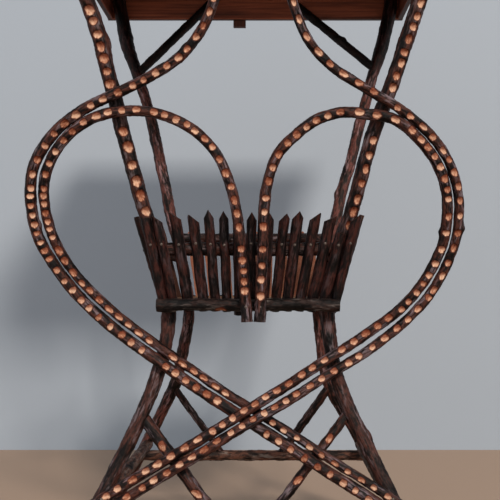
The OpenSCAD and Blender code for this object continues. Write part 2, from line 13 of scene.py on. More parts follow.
import bmesh
import bpy
import numpy as np
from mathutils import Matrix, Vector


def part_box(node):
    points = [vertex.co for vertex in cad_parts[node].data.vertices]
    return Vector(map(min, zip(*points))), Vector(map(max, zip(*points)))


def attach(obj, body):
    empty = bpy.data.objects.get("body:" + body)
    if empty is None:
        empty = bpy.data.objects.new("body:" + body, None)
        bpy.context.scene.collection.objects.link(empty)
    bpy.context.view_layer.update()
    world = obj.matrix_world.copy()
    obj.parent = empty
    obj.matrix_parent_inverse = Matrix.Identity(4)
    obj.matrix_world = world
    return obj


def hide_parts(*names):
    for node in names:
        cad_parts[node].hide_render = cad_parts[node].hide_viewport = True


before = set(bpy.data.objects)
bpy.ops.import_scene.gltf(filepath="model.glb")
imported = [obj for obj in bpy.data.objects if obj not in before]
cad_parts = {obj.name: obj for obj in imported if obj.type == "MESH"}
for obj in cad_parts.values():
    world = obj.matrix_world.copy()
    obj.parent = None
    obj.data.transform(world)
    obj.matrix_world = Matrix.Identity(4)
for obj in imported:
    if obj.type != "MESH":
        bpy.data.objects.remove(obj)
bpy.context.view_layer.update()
print("nodes", len(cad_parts))

# %% [markdown]
# ## Sizes
#
# The model's formulas are repeated here in millimetres, because the new surfaces follow the
# same bent lines as the solids. The origin is on the floor under the middle of the top, and
# the front faces -Y.

# %% Sizes in millimetres
MM = 0.001
TABLE_H, TOP_T, APRON_H = 760, 14, 60
LEG_H = TABLE_H - TOP_T
APRON_Z = LEG_H - APRON_H
LEG_D, LEG_TOP_D, SWELL_Z, SWELL_H = 14, 18, 580, 70
WAIST_Z, WAIST_W, WAIST_DEPTH = 290, 158, 164
FOOT_W, FOOT_DEPTH = 406, 312
SPREAD_W, SPREAD_DEPTH = 374, 356
FIT = 0.3
APRON_Y = SPREAD_DEPTH / 2 + LEG_TOP_D / 2 + FIT
SET_IN = 2
STRETCHER_Z, SIDE_STRETCHER_Z, STRETCHER_D = 102, 118, 13
FLOOR_Z, FLOOR_T, TIP_Z = 296, 10, 392
PICKET_T, POINT_H, PICKET_DROP, SIDE_PICKET_DROP = 5, 10, 1, 3
RAIL_D, HOOP_D, HOOP_Z, REAR_HOOP_Z = 12, 13, 355, 378
SIDE_FOOT, SIDE_FLARE, SIDE_GAP = 5, 3, 9.5
POLE_D, POLE_GAP, HEART_REACH, HEART_Z, CROSS_Z = 10, 0.4, 205, 400, 190
POLE_NAIL_Z, POLE_OVER, POLE_TAIL = 103, 16, 16

UPPER_BEND = [(0, 0), (0.1, 0.06), (0.23, 0.2), (0.46, 0.45), (0.65, 0.675),
              (0.77, 0.85), (0.84, 0.92), (0.9, 0.97), (1, 1)]
LOWER_BEND = [(0, 0), (0.1, 0.025), (0.22, 0.09), (0.35, 0.2), (0.5, 0.36), (0.6, 0.475), (1, 1)]
CROOKS = [(-1, -1, 58, 92, -0.36), (1, -1, 58, 92, 0.5), (-1, 1, 54, 86, -0.21),
          (1, 1, 54, 86, 0.14), (1, 1, 17, 35, -0.5), (-1, 1, 17, 35, -0.14),
          (-1, -1, 8, 38, 0.18), (1, -1, 23, 37, -0.2)]


# %% [markdown]
# ## The lines of the bent legs
#
# A sapling that is bent while green keeps a smooth curve. Such a curve can be held by a few
# points with a cubic between each two of them, whose ends share the slope of their
# neighbours. Everything is computed for a whole array of heights at once.

# %% Bent lines
def cubic(a, slope_a, b, slope_b, u):
    """Value between a and b at the share u: a times 2u^3-3u^2+1, plus its slope times
    u^3-2u^2+u, plus b times 3u^2-2u^3, plus its slope times u^3-u^2."""
    return (a * (2 * u**3 - 3 * u**2 + 1) + slope_a * (u**3 - 2 * u**2 + u)
            + b * (3 * u**2 - 2 * u**3) + slope_b * (u**3 - u**2))


def bend(points, t):
    """Smooth curve through points [place, value] at the places t, level at its start."""
    x, y = np.array(points, float).T
    slope = np.zeros(len(x))
    slope[1:-1] = (y[2:] - y[:-2]) / (x[2:] - x[:-2])
    slope[-1] = (y[-1] - y[-2]) / (x[-1] - x[-2])
    i = np.clip(np.searchsorted(x, t, side="right") - 1, 0, len(x) - 2)
    h = x[i + 1] - x[i]
    return cubic(y[i], slope[i] * h, y[i + 1], slope[i + 1] * h, (t - x[i]) / h)


def leg_share(z):
    """Share of the spread, 0 at the waist and 1 at the top and at the floor."""
    up = bend(UPPER_BEND, np.clip((z - WAIST_Z) / (LEG_H - WAIST_Z), 0, 1))
    down = bend(LOWER_BEND, np.clip((WAIST_Z - z) / WAIST_Z, 0, 1))
    return np.where(z >= WAIST_Z, up, down)


def leg_x(z):
    """Distance from the middle to a leg, across: the waist plus its share of the spread."""
    return (WAIST_W + leg_share(z) * (np.where(z >= WAIST_Z, SPREAD_W, FOOT_W) - WAIST_W)) / 2


def leg_y(z):
    """Distance from the middle to a leg, front to back, worked out as leg_x is."""
    wide = np.where(z >= WAIST_Z, SPREAD_DEPTH, FOOT_DEPTH)
    return (WAIST_DEPTH + leg_share(z) * (wide - WAIST_DEPTH)) / 2


def centre_x(side, end, z):
    """leg_x with the crooks of that leg: a squared sine over the length of each crook."""
    x = leg_x(z)
    for s, e, low, high, amount in CROOKS:
        if (s, e) == (side, end):
            share = np.clip((100 * z / LEG_H - low) / (high - low), 0, 1)
            x = x + amount * LEG_D * np.sin(np.pi * share)**2
    return x


def leg_r(z):
    """Radius of a leg, which swells smoothly from SWELL_Z over SWELL_H."""
    u = np.clip((z - SWELL_Z) / SWELL_H, 0, 1)
    return LEG_D / 2 + (LEG_TOP_D - LEG_D) / 2 * u * u * (3 - 2 * u)


def slope_of(f, z):
    """How much f changes over a millimetre at z, from 1 mm below to 1 mm above."""
    return (f(z + 1) - f(z - 1)) / 2


def leg_line(side, end, z):
    """Points of a leg's centre line at the heights z."""
    return np.stack([side * centre_x(side, end, z), end * leg_y(z), z], axis=-1)


low_z = FLOOR_Z - SIDE_PICKET_DROP
PICKET_LEAN_X = (leg_x(TIP_Z) - leg_x(low_z)) / (TIP_Z - low_z)
PICKET_LEAN_Y = (leg_y(TIP_Z) - leg_y(low_z)) / (TIP_Z - low_z)


def basket_x(z):
    """Half width of the front and rear pickets: a straight line on the outsides of the legs."""
    return (leg_x(low_z) + (LEG_D / 2 + FIT) * np.hypot(1, PICKET_LEAN_X)
            + (z - low_z) * PICKET_LEAN_X)


def basket_y(z):
    """Inner face of the front and rear pickets, worked out as basket_x is."""
    return (leg_y(low_z) + (LEG_D / 2 + FIT) * np.hypot(1, PICKET_LEAN_Y)
            + (z - low_z) * PICKET_LEAN_Y)


SIDE_LEAN = ((basket_x(TIP_Z) + SIDE_FLARE - leg_x(FLOOR_Z) - SIDE_FOOT)
             / (TIP_Z - FLOOR_Z))


def side_x(z):
    """Inner face of the side pickets, which lean out past the corners of the other rows."""
    return leg_x(FLOOR_Z) + SIDE_FOOT + (z - FLOOR_Z) * SIDE_LEAN


RAIL_Z = FLOOR_Z + FLOOR_T / 2
RAIL_Y = basket_y(RAIL_Z) + (PICKET_T + FIT + RAIL_D / 2) * np.hypot(1, PICKET_LEAN_Y)
HOOP_X = side_x(HOOP_Z) - (FIT + HOOP_D / 2) * np.hypot(1, SIDE_LEAN)


def hoop_y(z):
    """Distance from the middle to a hoop bar that lies inside the front or rear pickets."""
    return basket_y(z) - (FIT + HOOP_D / 2) * np.hypot(1, PICKET_LEAN_Y)


print("waist", leg_x(290.0), "rail", round(RAIL_Y, 2))

# %% [markdown]
# ## The lines of the heart poles
#
# Each heart is a pair of poles. The outer one comes down from the apron, swings out round the
# heart, crosses in the middle and runs to the opposite front leg. The inner one rises from
# the basket rail, hooks over at the top of the heart and then keeps beside the outer one.
# The routes are listed points in hundredths of the heart's reach and height.

# %% Routes of the poles
LEFT_ROUTE = [(-4.5, 100, 0), (-6, 86, 0), (-9.5, 72, 0), (-14, 60.5, 0), (-19, 52.8, 0),
              (-27.7, 45.3, 0), (-41.2, 39, 0), (-55.8, 34.1, 0), (-71, 29.3, 0, 1),
              (-82.7, 24.2, 0, 1), (-92, 17.3, 0, 1.08), (-98.5, 8.6, 0, 1.2),
              (-100, -3, 0, 1.23), (-96.7, -19, 0, 1.23), (-90, -31, 0, 1.16),
              (-82, -41.5, 0, 1.13), (-70.3, -53, 0, 1.18), (-55.6, -64.4, 0, 1.16),
              (-39.3, -75.3, 0, 1.1), (-19.3, -88.4, 0, 1.08), (0.5, -100, 0, 1.06)]
RIGHT_ROUTE = [(11, 100, 0), (12, 86, 0), (15.5, 72, 0), (20, 60.5, 0), (26.2, 50.2, 0),
               (36.2, 42.3, 0), (53.2, 34.8, 0), (68.5, 28.7, 0, 1), (80.3, 22.5, 0, 1),
               (90.1, 14.4, 0, 1), (96, 4.9, 0, 1.02), (97.9, -7, 0, 1.07), (97.1, -18, 0, 1.1),
               (92.9, -30.3, 0, 1.12), (86.9, -41.2, 0, 1.15), (75.8, -53.8, 0, 1.2),
               (59.1, -66.8, 0, 1.34), (36, -80, 0.7, 1.26), (17, -91, 1, 1.18),
               (0.5, -100, 1, 1.06)]
LEFT_FOOT, RIGHT_FOOT = -0.5, 5.4
LEFT_HOOK = [(-1.6, -36, 0), (-2.9, -21, 0), (-5, -5, 0), (-8, 5, 0), (-13, 13.5, 0),
             (-20, 19.5, 0), (-30, 24.5, 0), (-42, 27.5, 0), (-55, 28, 0)]
RIGHT_HOOK = [(6.4, -36, 0), (7, -21, 0), (7.5, -5, 0), (9.5, 6, 0), (14.5, 15, 0),
              (22, 20.5, 0), (32, 25.5, 0), (43, 27.5, 0), (55, 27, 0)]
LEFT_BESIDE, RIGHT_BESIDE = 8, 7
LEFT_OUTER_TAPER = [(0, 0.84), (0.35, 1), (0.65, 1.13), (1, 1.13)]
LEFT_INNER_TAPER = [(0, 1.12), (0.15, 0.98), (0.55, 1), (0.8, 0.9), (1, 0.86)]
RIGHT_OUTER_TAPER = [(0, 0.82), (0.3, 0.9), (0.7, 0.98), (1, 1)]
RIGHT_INNER_TAPER = [(0, 1.14), (0.15, 1.03), (0.6, 1.03), (1, 1)]
PASS_OVER = POLE_D * 1.15 + 2 * FIT
POLE_SLOPE = (CROSS_Z - POLE_NAIL_Z) / leg_x(POLE_NAIL_Z)
PAIR_STEP = ((POLE_D + POLE_GAP) * np.hypot(1, POLE_SLOPE)
             / (1 + POLE_SLOPE * slope_of(leg_x, POLE_NAIL_Z)))
SEGMENT_STEPS = 14


def headings(p):
    """Direction of a route at each of its points: the parabola's slope through three points."""
    step = np.diff(p, axis=0)
    length = np.linalg.norm(step, axis=1, keepdims=True)
    unit = step / length
    t = np.empty_like(p)
    t[0], t[-1] = unit[0], unit[-1]
    t[1:-1] = (unit[:-1] * length[1:] + unit[1:] * length[:-1]) / (length[:-1] + length[1:])
    return t


def smooth_route(p):
    """A cubic between each two points of a route, SEGMENT_STEPS places on each."""
    t = headings(p)
    h = np.linalg.norm(np.diff(p, axis=0), axis=1)[:, None, None]
    u = (np.arange(SEGMENT_STEPS) / SEGMENT_STEPS)[None, :, None]
    line = cubic(p[:-1, None], t[:-1, None] * h, p[1:, None], t[1:, None] * h, u)
    return np.concatenate([line.reshape(-1, p.shape[1]), p[-1:]])


def heart_points(route):
    """[across, height, lift] in millimetres from hundredths of the reach and of the height."""
    x, level, lift = np.array([q[:3] for q in route], float).T
    height = HEART_Z + level / 100 * np.where(level > 0, APRON_Z - HEART_Z, HEART_Z - CROSS_Z)
    return np.stack([x * HEART_REACH / 100, height, lift], axis=1)


def to_leg(start, side, nail_z):
    """The last stretch: from the crossing straight to the opposite front leg and past it."""
    nail = np.array([-side * leg_x(nail_z), nail_z, 0])
    ahead = (nail - start) / np.linalg.norm((nail - start)[:2])
    mid = [start + (nail - start) * share for share in (0.28, 0.6)]
    mid[0][2], mid[1][2] = start[2], start[2] * 0.45
    beyond = nail + ahead * POLE_OVER
    beyond[2] = 0
    return np.array([*mid, nail, beyond])


def pole_y(z, r):
    """Y of a pole of radius r that lies on the fronts of the legs and inside the front apron."""
    off = leg_r(z) + FIT + r
    return -np.minimum(leg_y(z) + off * np.hypot(1, slope_of(leg_y, z)), APRON_Y - FIT - r)


def outer_route(route, side, taper):
    """Centre line and radius of an outer pole."""
    p = heart_points(route)
    start = [[p[0, 0], LEG_H - APRON_H / 4, 0]]
    flat = smooth_route(np.concatenate([start, p, to_leg(p[-1], side, POLE_NAIL_Z)]))
    r = POLE_D / 2 * np.interp(np.linspace(0, 1, len(flat)), *np.array(taper).T)
    y = pole_y(flat[:, 1], r) - flat[:, 2] * PASS_OVER
    return np.stack([flat[:, 0], y, flat[:, 1]], axis=1), r


def inner_route(route, foot, hook, first, side, taper):
    """Centre line and radius of an inner pole, which keeps off the outer one square to it."""
    p = heart_points(route)
    t = headings(p)[first:]
    apart = np.array([q[3] for q in route[first:]]) * POLE_D + POLE_GAP
    off = np.stack([t[:, 1], -t[:, 0], 0 * t[:, 0]], axis=1)
    off /= np.linalg.norm(t[:, :2], axis=1)[:, None]
    beside = p[first:] + side * apart[:, None] * off
    start = [[foot * HEART_REACH / 100, RAIL_Z - POLE_TAIL, 0]]
    end = to_leg(beside[-1], side, POLE_NAIL_Z + PAIR_STEP)
    flat = smooth_route(np.concatenate([start, heart_points(hook), beside, end]))
    r = POLE_D / 2 * np.interp(np.linspace(0, 1, len(flat)), *np.array(taper).T)
    z = flat[:, 1]
    top = int(np.argmax(z))
    low = -(RAIL_Y + RAIL_D / 2 + FIT + r)
    share = np.clip((z - RAIL_Z) / (z[top] - RAIL_Z), 0, 1)
    rising = low + (pole_y(np.full_like(z, z[top]), r) - low) * share
    y = np.where(np.arange(len(z)) < top, rising, pole_y(z, r) - flat[:, 2] * PASS_OVER)
    return np.stack([flat[:, 0], y, z], axis=1), r


pole_lines = {
    "left_outer_pole": outer_route(LEFT_ROUTE, -1, LEFT_OUTER_TAPER),
    "left_inner_pole": inner_route(LEFT_ROUTE, LEFT_FOOT, LEFT_HOOK, LEFT_BESIDE, -1,
                                   LEFT_INNER_TAPER),
    "right_outer_pole": outer_route(RIGHT_ROUTE, 1, RIGHT_OUTER_TAPER),
    "right_inner_pole": inner_route(RIGHT_ROUTE, RIGHT_FOOT, RIGHT_HOOK, RIGHT_BESIDE, 1,
                                    RIGHT_INNER_TAPER),
}
for pole_name, (line, _) in pole_lines.items():
    length = np.linalg.norm(np.diff(line, axis=0), axis=1).sum()
    print(pole_name, "is", round(float(length)), "mm long")

# %% [markdown]
# ## The camera, the stage and the light
#
# The photograph was taken from about 0.6 m in front of the hearts, a little right of the
# middle, with the camera level. The frame's middle isn't the point that the lens looks at,
# so the lens is shifted instead of tilted, which keeps the upright lines upright. The light
# is that of a studio: a strong lamp a metre wide and about 8 m off, high on the right, a weak
# broad one on the left, and an even surrounding light.

# %% Camera
# VIEWER is the place of the lens in millimetres. FOCAL_PX is its focal length in pixels of a
# picture that is PICTURE pixels wide, VANISH is the pixel straight ahead of it, and SENSOR is
# the usual width of a film in millimetres.
VIEWER = np.array([23.0, -780, 320])
PICTURE, FOCAL_PX, VANISH, SENSOR = 500, 703, (272, 285), 36
scene = bpy.context.scene
scene.view_settings.view_transform = "Standard"
lens = bpy.data.cameras.new("camera")
lens.sensor_width = SENSOR
lens.lens = FOCAL_PX / PICTURE * SENSOR
lens.shift_x = (PICTURE / 2 - VANISH[0]) / PICTURE
lens.shift_y = (VANISH[1] - PICTURE / 2) / PICTURE
camera = bpy.data.objects.new("camera", lens)
camera.location = VIEWER * MM
camera.rotation_euler = (np.pi / 2, 0, 0)
scene.collection.objects.link(camera)
scene.camera = camera
print("lens", round(lens.lens, 1), "mm")


# %% Nodes and paint
def srgb(text):
    """Linear colour from sRGB hex: below 0.04045 over 12.92, else ((c+0.055)/1.055)^2.4."""
    c = np.array([int(text[i:i + 2], 16) for i in (1, 3, 5)]) / 255
    linear = np.where(c <= 0.04045, c / 12.92, ((c + 0.055) / 1.055)**2.4)
    return (*(float(v) for v in linear), 1.0)


def connect(tree, node, inputs):
    """Sets a node's inputs, given in their order or by name, each to a value or to an output
    of another node."""
    for socket, source in inputs.items() if isinstance(inputs, dict) else enumerate(inputs):
        if isinstance(source, bpy.types.NodeSocket):
            tree.links.new(source, node.inputs[socket])
        else:
            node.inputs[socket].default_value = source


def add(tree, kind, inputs=(), stops=(), **settings):
    """Adds a node with its settings, its inputs and, for a colour band, its stops [place,
    colour]. Returns its outputs."""
    node = tree.nodes.new("ShaderNode" + kind)
    for key, value in settings.items():
        setattr(node, key, value)
    for _ in stops[2:]:
        node.color_ramp.elements.new(0.5)
    for number, (place, colour) in enumerate(stops):
        node.color_ramp.elements[number].position = place
        node.color_ramp.elements[number].color = srgb(colour)
    connect(tree, node, inputs)
    return node.outputs


def new_material(name):
    """A material, its node tree and its shader."""
    material = bpy.data.materials.new(name)
    material.use_nodes = True
    return material, material.node_tree, material.node_tree.nodes["Principled BSDF"]


def paint(name, colour, roughness):
    """Matt paint: one even colour, rough enough to show no highlight."""
    material, tree, shader = new_material(name)
    connect(tree, shader, {"Base Color": srgb(colour), "Roughness": roughness})
    return material


def clear_from_behind(material):
    """Lets a view from behind a backdrop through: its reverse side is transparent."""
    tree = material.node_tree
    front = tree.nodes["Principled BSDF"].outputs[0]
    behind = add(tree, "BsdfTransparent")[0]
    shown = add(tree, "MixShader", [add(tree, "NewGeometry")["Backfacing"], front, behind])
    connect(tree, tree.nodes["Material Output"], {"Surface": shown[0]})
    return material


# %% Floor, wall and lamps
STAGE, WALL_Y = 4, 0.584


def stage_plane(name, corners, material):
    """A flat four-cornered backdrop or floor, in metres."""
    mesh = bpy.data.meshes.new(name)
    mesh.from_pydata(corners, [], [(0, 1, 2, 3)])
    plane = bpy.data.objects.new(name, mesh)
    plane.data.materials.append(material)
    scene.collection.objects.link(plane)


stage_plane("floor", [(-STAGE, -STAGE, 0), (STAGE, -STAGE, 0), (STAGE, STAGE, 0),
                      (-STAGE, STAGE, 0)], paint("floor_paint", "#9b8472", 0.8))
stage_plane("wall", [(-STAGE, WALL_Y, 0), (STAGE, WALL_Y, 0), (STAGE, WALL_Y, STAGE),
                     (-STAGE, WALL_Y, STAGE)],
            clear_from_behind(paint("wall_paint", "#97a0aa", 0.9)))

for name, place, target, size, watts, colour in (
        ("key_light", (2.3, -6.4, 4.6), (0.1, 0, 0.5), (1.1, 0.9), 600, "#fff4e8"),
        ("fill_light", (-1.6, -1.8, 0.9), (0, 0, 0.4), (1.8, 1.8), 5, "#e8f0ff")):
    lamp = bpy.data.lights.new(name, "AREA")
    lamp.shape = "RECTANGLE"
    lamp.size, lamp.size_y = size
    lamp.energy = watts
    lamp.color = srgb(colour)[:3]
    holder = bpy.data.objects.new(name, lamp)
    holder.location = place
    aim = np.array(target, float) - np.array(place, float)
    holder.rotation_euler = (np.arccos(-aim[2] / np.linalg.norm(aim)), 0,
                             np.arctan2(-aim[0], aim[1]))
    scene.collection.objects.link(holder)
world = bpy.data.worlds.new("world")
world.use_nodes = True
connect(world.node_tree, world.node_tree.nodes["Background"],
        {"Color": srgb("#e6eaee"), "Strength": 0.85})
scene.world = world

# %% [markdown]
# ## From a grid of points to a mesh
#
# Every piece below is a grid: rings of points along a line, each ring joined to the next.
# The arrays go straight into the mesh. Three values are kept with each point for the
# materials: where it is on the straightened stick, so that grain follows the bend, how far
# inside a knife cut it lies, and the number of that chip with how far up in it the point lies,
# which sets painted shade on the chip's upper part.

# %% Meshes from grids
def quads_of(rows, columns, closed, first=0):
    """Corner numbers of the faces between neighbouring rows and columns of a grid."""
    i, j = np.mgrid[:rows - 1, :columns if closed else columns - 1]
    k = (j + 1) % columns
    low, high = i * columns, (i + 1) * columns
    return np.stack([low + j, low + k, high + k, high + j], axis=-1).reshape(-1, 4) + first


def new_piece(name, points, faces, values, material, nodes=(), smooth_angle=50):
    """An object from points in millimetres and faces, with its values kept as attributes."""
    mesh = bpy.data.meshes.new(name)
    mesh.from_pydata((points * MM).tolist(), [], [tuple(f) for f in faces])
    for key, value in values.items():
        kind, field = ("FLOAT_VECTOR", "vector") if value.ndim == 2 else ("FLOAT", "value")
        domain = "POINT" if len(value) == len(points) else "FACE"
        data = mesh.attributes.new(key, kind, domain).data
        data.foreach_set(field, value.astype(np.float32).ravel())
    grid = bmesh.new()
    grid.from_mesh(mesh)
    bmesh.ops.dissolve_degenerate(grid, dist=1e-7, edges=grid.edges)
    grid.to_mesh(mesh)
    grid.free()
    mesh.polygons.foreach_set("use_smooth", np.ones(len(mesh.polygons), bool))
    mesh.set_sharp_from_angle(angle=np.radians(smooth_angle))
    mesh.update()
    piece = bpy.data.objects.new(name, mesh)
    piece.data.materials.append(material)
    scene.collection.objects.link(piece)
    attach(piece, "root")
    if nodes:
        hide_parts(*nodes)
    return piece


def ripple(rng, s, phi, amount, waves, longest, shortest, turns):
    """Relief of bark: a sum of cosine waves along the stick and a whole number of turns
    round it, with lengths spread evenly by their logarithm, so that it closes round it."""
    length = np.exp(rng.uniform(np.log(shortest), np.log(longest), waves))
    turn = rng.integers(0, turns + 1, waves)
    phase = rng.uniform(0, 2 * np.pi, waves)
    relief = np.zeros(np.broadcast(s, phi).shape)
    for wave, times, start in zip(length, turn, phase):
        relief += np.cos(2 * np.pi * s / wave + times * phi + start)
    return amount * relief / np.sqrt(waves)


# %% [markdown]
# ## Saplings with their bark and chips
#
# A sapling is a tube along its centre line. Bark is never smooth, so its radius ripples, and
# here and there a side shoot has left a knot. The chips are real cuts: a bent knife goes in and
# comes out again, and leaves a small hollow, deepest in the middle, whose rim is an ellipse.

# %% Knots and chips
# CHIP_WIDE is how wide half a chip is, as a share of the radius. A point that lies more than
# ROUND radians from a chip's middle is outside of it, and gets the distance OUTSIDE.
CHIP_WIDE, ROUND, OUTSIDE = 0.73, 1.4, 3.0


def with_knots(radius, s, phi, knots):
    """The radius with knots [place, turn, height, long, wide]: each one adds its height times
    exp(-(distance along / long)^2 - (distance round / wide)^2)."""
    for place, turn, height, long, wide in knots:
        away = np.angle(np.exp(1j * (phi - turn)))
        radius = radius + height * np.exp(-((s - place) / long)**2 - (away / wide)**2)
    return radius


def cut_chips(radius, s, phi, chips, upward):
    """Takes the chips off a tube. A chip [place, turn, half length, depth, wide] is a hollow of
    depth times (1 - a^2 - b^2): a is the distance along from its place over its half length, and
    b the distance across from the direction turn over wide times the radius. On its upper side,
    where the knife goes in, a^2 becomes a^4, and the cut is steeper and straighter. Upward
    tells for each row which way is up along the stick. Returns the new radius, how far inside
    the nearest chip each point lies, that chip's number, and where the point lies in it, along
    and across in millimetres."""
    if not chips:
        return radius, np.full(radius.shape, -1.0), *np.zeros((3, *radius.shape))
    chips = np.array(sorted(chips), float)
    nearest = np.abs(s[:, None] - chips[None, :, 0]).argmin(1)
    place, turn, half, depth, wide = (chips[nearest, k][:, None] for k in range(5))
    plain = radius.mean(1, keepdims=True)
    away = np.angle(np.exp(1j * (phi - turn)))
    along = (s[:, None] - place) / half * np.ones_like(away)
    across = np.where(np.abs(away) < ROUND, np.sin(away) / wide, OUTSIDE)
    steep = along * np.sign(upward)[:, None] > 0
    inside = np.clip(1 - np.where(steep, along**4, along**2) - across**2, -1, 1)
    number = nearest[:, None] * np.ones_like(across)
    return (radius - depth * np.maximum(inside, 0), inside, number, along * half,
            across * plain * wide)


# %% Sticks from rings
# A relief is [share of the roughness, waves, longest and shortest wave in mm, most turns], and
# the waves of a wobble are the same without the share
TUBE_RELIEF = [(1, 26, 90, 12, 3), (0.4, 24, 10, 3, 7)]
BAR_RELIEF = [(1, 24, 80, 12, 3), (0.4, 20, 10, 3, 7)]
WOBBLE_WAVES = (8, 200, 60, 0)
TUBE_ANGLES = np.linspace(0, 2 * np.pi, 32, endpoint=False)
BAR_ANGLES = np.linspace(0, 2 * np.pi, 28, endpoint=False)
# Radii of the rings that close an end, as shares of its rim. Their places on the straightened
# stick shrink with them, but stay as far along it. SAWN is the cut value of sawn wood.
END_RINGS = np.array([1, 0.66, 0.33, 0])
END_STEMS = np.stack([END_RINGS, END_RINGS, np.ones(4)], axis=-1)[:, None]
SAWN = 2.0


def square_to(t, face):
    """The part of the direction face that is square to t, of length 1."""
    front = face - (face * t).sum(-1, keepdims=True) * t
    return front / np.linalg.norm(front, axis=-1, keepdims=True)


def circle(t, front, phi):
    """Directions round t: cos phi * front + sin phi * across, where across = t x front."""
    across = np.cross(t, front)[..., None, :]
    return np.cos(phi)[:, None] * front[..., None, :] + np.sin(phi)[:, None] * across


def stick(name, centre, t, front, s, base, phi, relief, slot, material, node, seed, rough,
          chips=(), knots=(), wobble=0.0, level=()):
    """A piece of rings round the centres, at the places s along the stick. Point = centre +
    radius * (cos phi * front + sin phi * across), and the radius is base with its relief, knots
    and chips. What passes the two heights in level slides back along the stick, as if sawn off
    there. Each end is closed by rings that shrink to its middle, and counts as sawn wood."""
    rng = np.random.default_rng(seed)
    across = np.cross(t, front)
    radius = base
    for share, *waves in relief:
        radius = radius + ripple(rng, s, phi, rough * share, *waves)
    radius = with_knots(radius, s, phi, knots)
    if wobble:
        for way in (front, across):
            centre = centre + ripple(rng, s, 0 * s, wobble, *WOBBLE_WAVES)[..., None] * way[:, None]
    radius, cut, number, along, aside = cut_chips(radius, s.mean(1), phi, chips, t[:, 2])
    # How far up in its chip each point lies, which the bark turns into painted shade on the chip's
    # upper part.
    rise = along * t[:, None, 2] + aside * across[:, None, 2]
    points = centre + radius[..., None] * circle(t, front, phi)
    if level:
        beyond = points[..., 2] - np.clip(points[..., 2], *level)
        points = points - t[:, None] * (beyond / t[:, None, 2])[..., None]
    stem = np.stack(np.broadcast_arrays(base * np.cos(phi), base * np.sin(phi), s), axis=-1)
    chip = np.stack([number + 100 * seed, rise, 0 * rise], axis=-1)
    rows, sides = cut.shape
    faces = [quads_of(rows, sides, True)]
    parts = [(points.reshape(-1, 3), stem.reshape(-1, 3), cut.ravel(), chip.reshape(-1, 3))]
    rings = len(END_RINGS)
    for row, order, first in ((0, -1, rows), (-1, 1, rows + rings)):
        middle = points[row].mean(0)
        disc = middle + (points[row] - middle) * END_RINGS[:, None, None]
        faces.append(quads_of(rings, sides, True, first * sides)[:, ::order])
        parts.append((disc.reshape(-1, 3), (stem[row] * END_STEMS).reshape(-1, 3),
                      np.full(rings * sides, SAWN), np.zeros((rings * sides, 3))))
    points, stems, cuts, chips = (np.concatenate(column) for column in zip(*parts))
    values = {"stem": (stems + rng.uniform(0, 500, 3)) * MM, "cut": cuts, "chip": chips}
    new_piece(name, points, np.concatenate(faces), values, material, [node])


def tube(name, line, radius, slot, material, node, seed, rough, ring=1.3, toward=None, **more):
    """A sapling along a bent line, a ring every ring mm. Each one lies square to the line, and
    its first point faces toward, or the viewer."""
    places = np.concatenate([[0], np.cumsum(np.linalg.norm(np.diff(line, axis=0), axis=1))])
    s = np.linspace(0, places[-1], int(np.ceil(places[-1] / ring)) + 1)
    centre = np.stack([np.interp(s, places, line[:, k]) for k in range(3)], axis=1)
    base = np.interp(s, places, radius)[:, None]
    t = np.gradient(centre, axis=0)
    t /= np.linalg.norm(t, axis=1, keepdims=True)
    front = square_to(t, VIEWER - centre if toward is None else np.array(toward, float))
    stick(name, centre[:, None], t, front, s[:, None], base, TUBE_ANGLES, TUBE_RELIEF, slot,
          material, node, seed, rough, **more)


# %% [markdown]
# ## Materials
#
# Old bark on hazel or alder is nearly black, with red-brown where it is rubbed and a grey
# bloom on what stands proud, partly a painted sheen here; the black of its furrows is partly
# painted shade. The chips show sapwood, orange-tan after years indoors, with a thin red-brown
# line of inner bark at the rim and painted shade on their upper parts. All of it is one
# material that mixes by the depth of the knife's cut, so the edge of a chip is as sharp as the
# geometry.

# %% Helpers for materials
def patterns(tree, place, rows):
    """Noise for each row [sizes of its features in the three directions in mm, detail,
    roughness, distortion]. The place in metres is divided by the sizes."""
    made = []
    for sizes, *levels in rows:
        scale = [1 / (MM * size) for size in sizes]
        spread = add(tree, "Mapping", {"Vector": place, "Scale": scale})[0]
        levels = dict(zip(("Detail", "Roughness", "Distortion"), levels))
        made.append(add(tree, "TexNoise", {"Vector": spread, "Scale": 1, **levels})[0])
    return made


def uneven(tree, start, *weighted):
    """Start, plus for each [weight, pattern] the weight times the pattern less its mean 0.5."""
    less = -0.5 * sum(weight for weight, _ in weighted)
    total = add(tree, "Math", [start, less], operation="ADD")[0]
    for weight, pattern in weighted:
        total = add(tree, "Math", [pattern, weight, total], operation="MULTIPLY_ADD")[0]
    return total


def coat(tree, under, over, value, low, high, least=0, most=1, how="MIX"):
    """The colour over laid on the colour under: least of it up to where the value is low, most
    of it from where the value is high, and smoothly more in between."""
    share = add(tree, "MapRange", [value, low, high, least, most],
                interpolation_type="SMOOTHSTEP")[0]
    return add(tree, "Mix", {"Factor": share, "A": under, "B": over}, data_type="RGBA",
               blend_type=how)["Result"]


# %% Bark and raw wood
# Sizes of the bark's features round the stick and along it in mm, detail and roughness: broad
# patches, fine furrows and crests (partly painted shade and sheen), streaks of bloom, fibres of
# the wood and patches on a chip
BARK_PATTERNS = [((8, 8, 24), 4, 0.65), ((2.4, 2.4, 12.5), 4, 0.7), ((7, 7, 30), 3, 0.6),
                 ((1.1, 1.1, 5.5), 3, 0.6), ((1.9, 1.9, 3.3), 2, 0.55)]
RAW_WOOD = [(0.28, "#6f3b27"), (0.42, "#a06c52"), (0.54, "#bd9177"), (0.72, "#d0ad92")]
INNER_BARK, CHIP_SHADE, SAWN_END, TOP_SHADE_TINT = "#3d170d", "#6a301d", "#1f120d", "#7a7272"


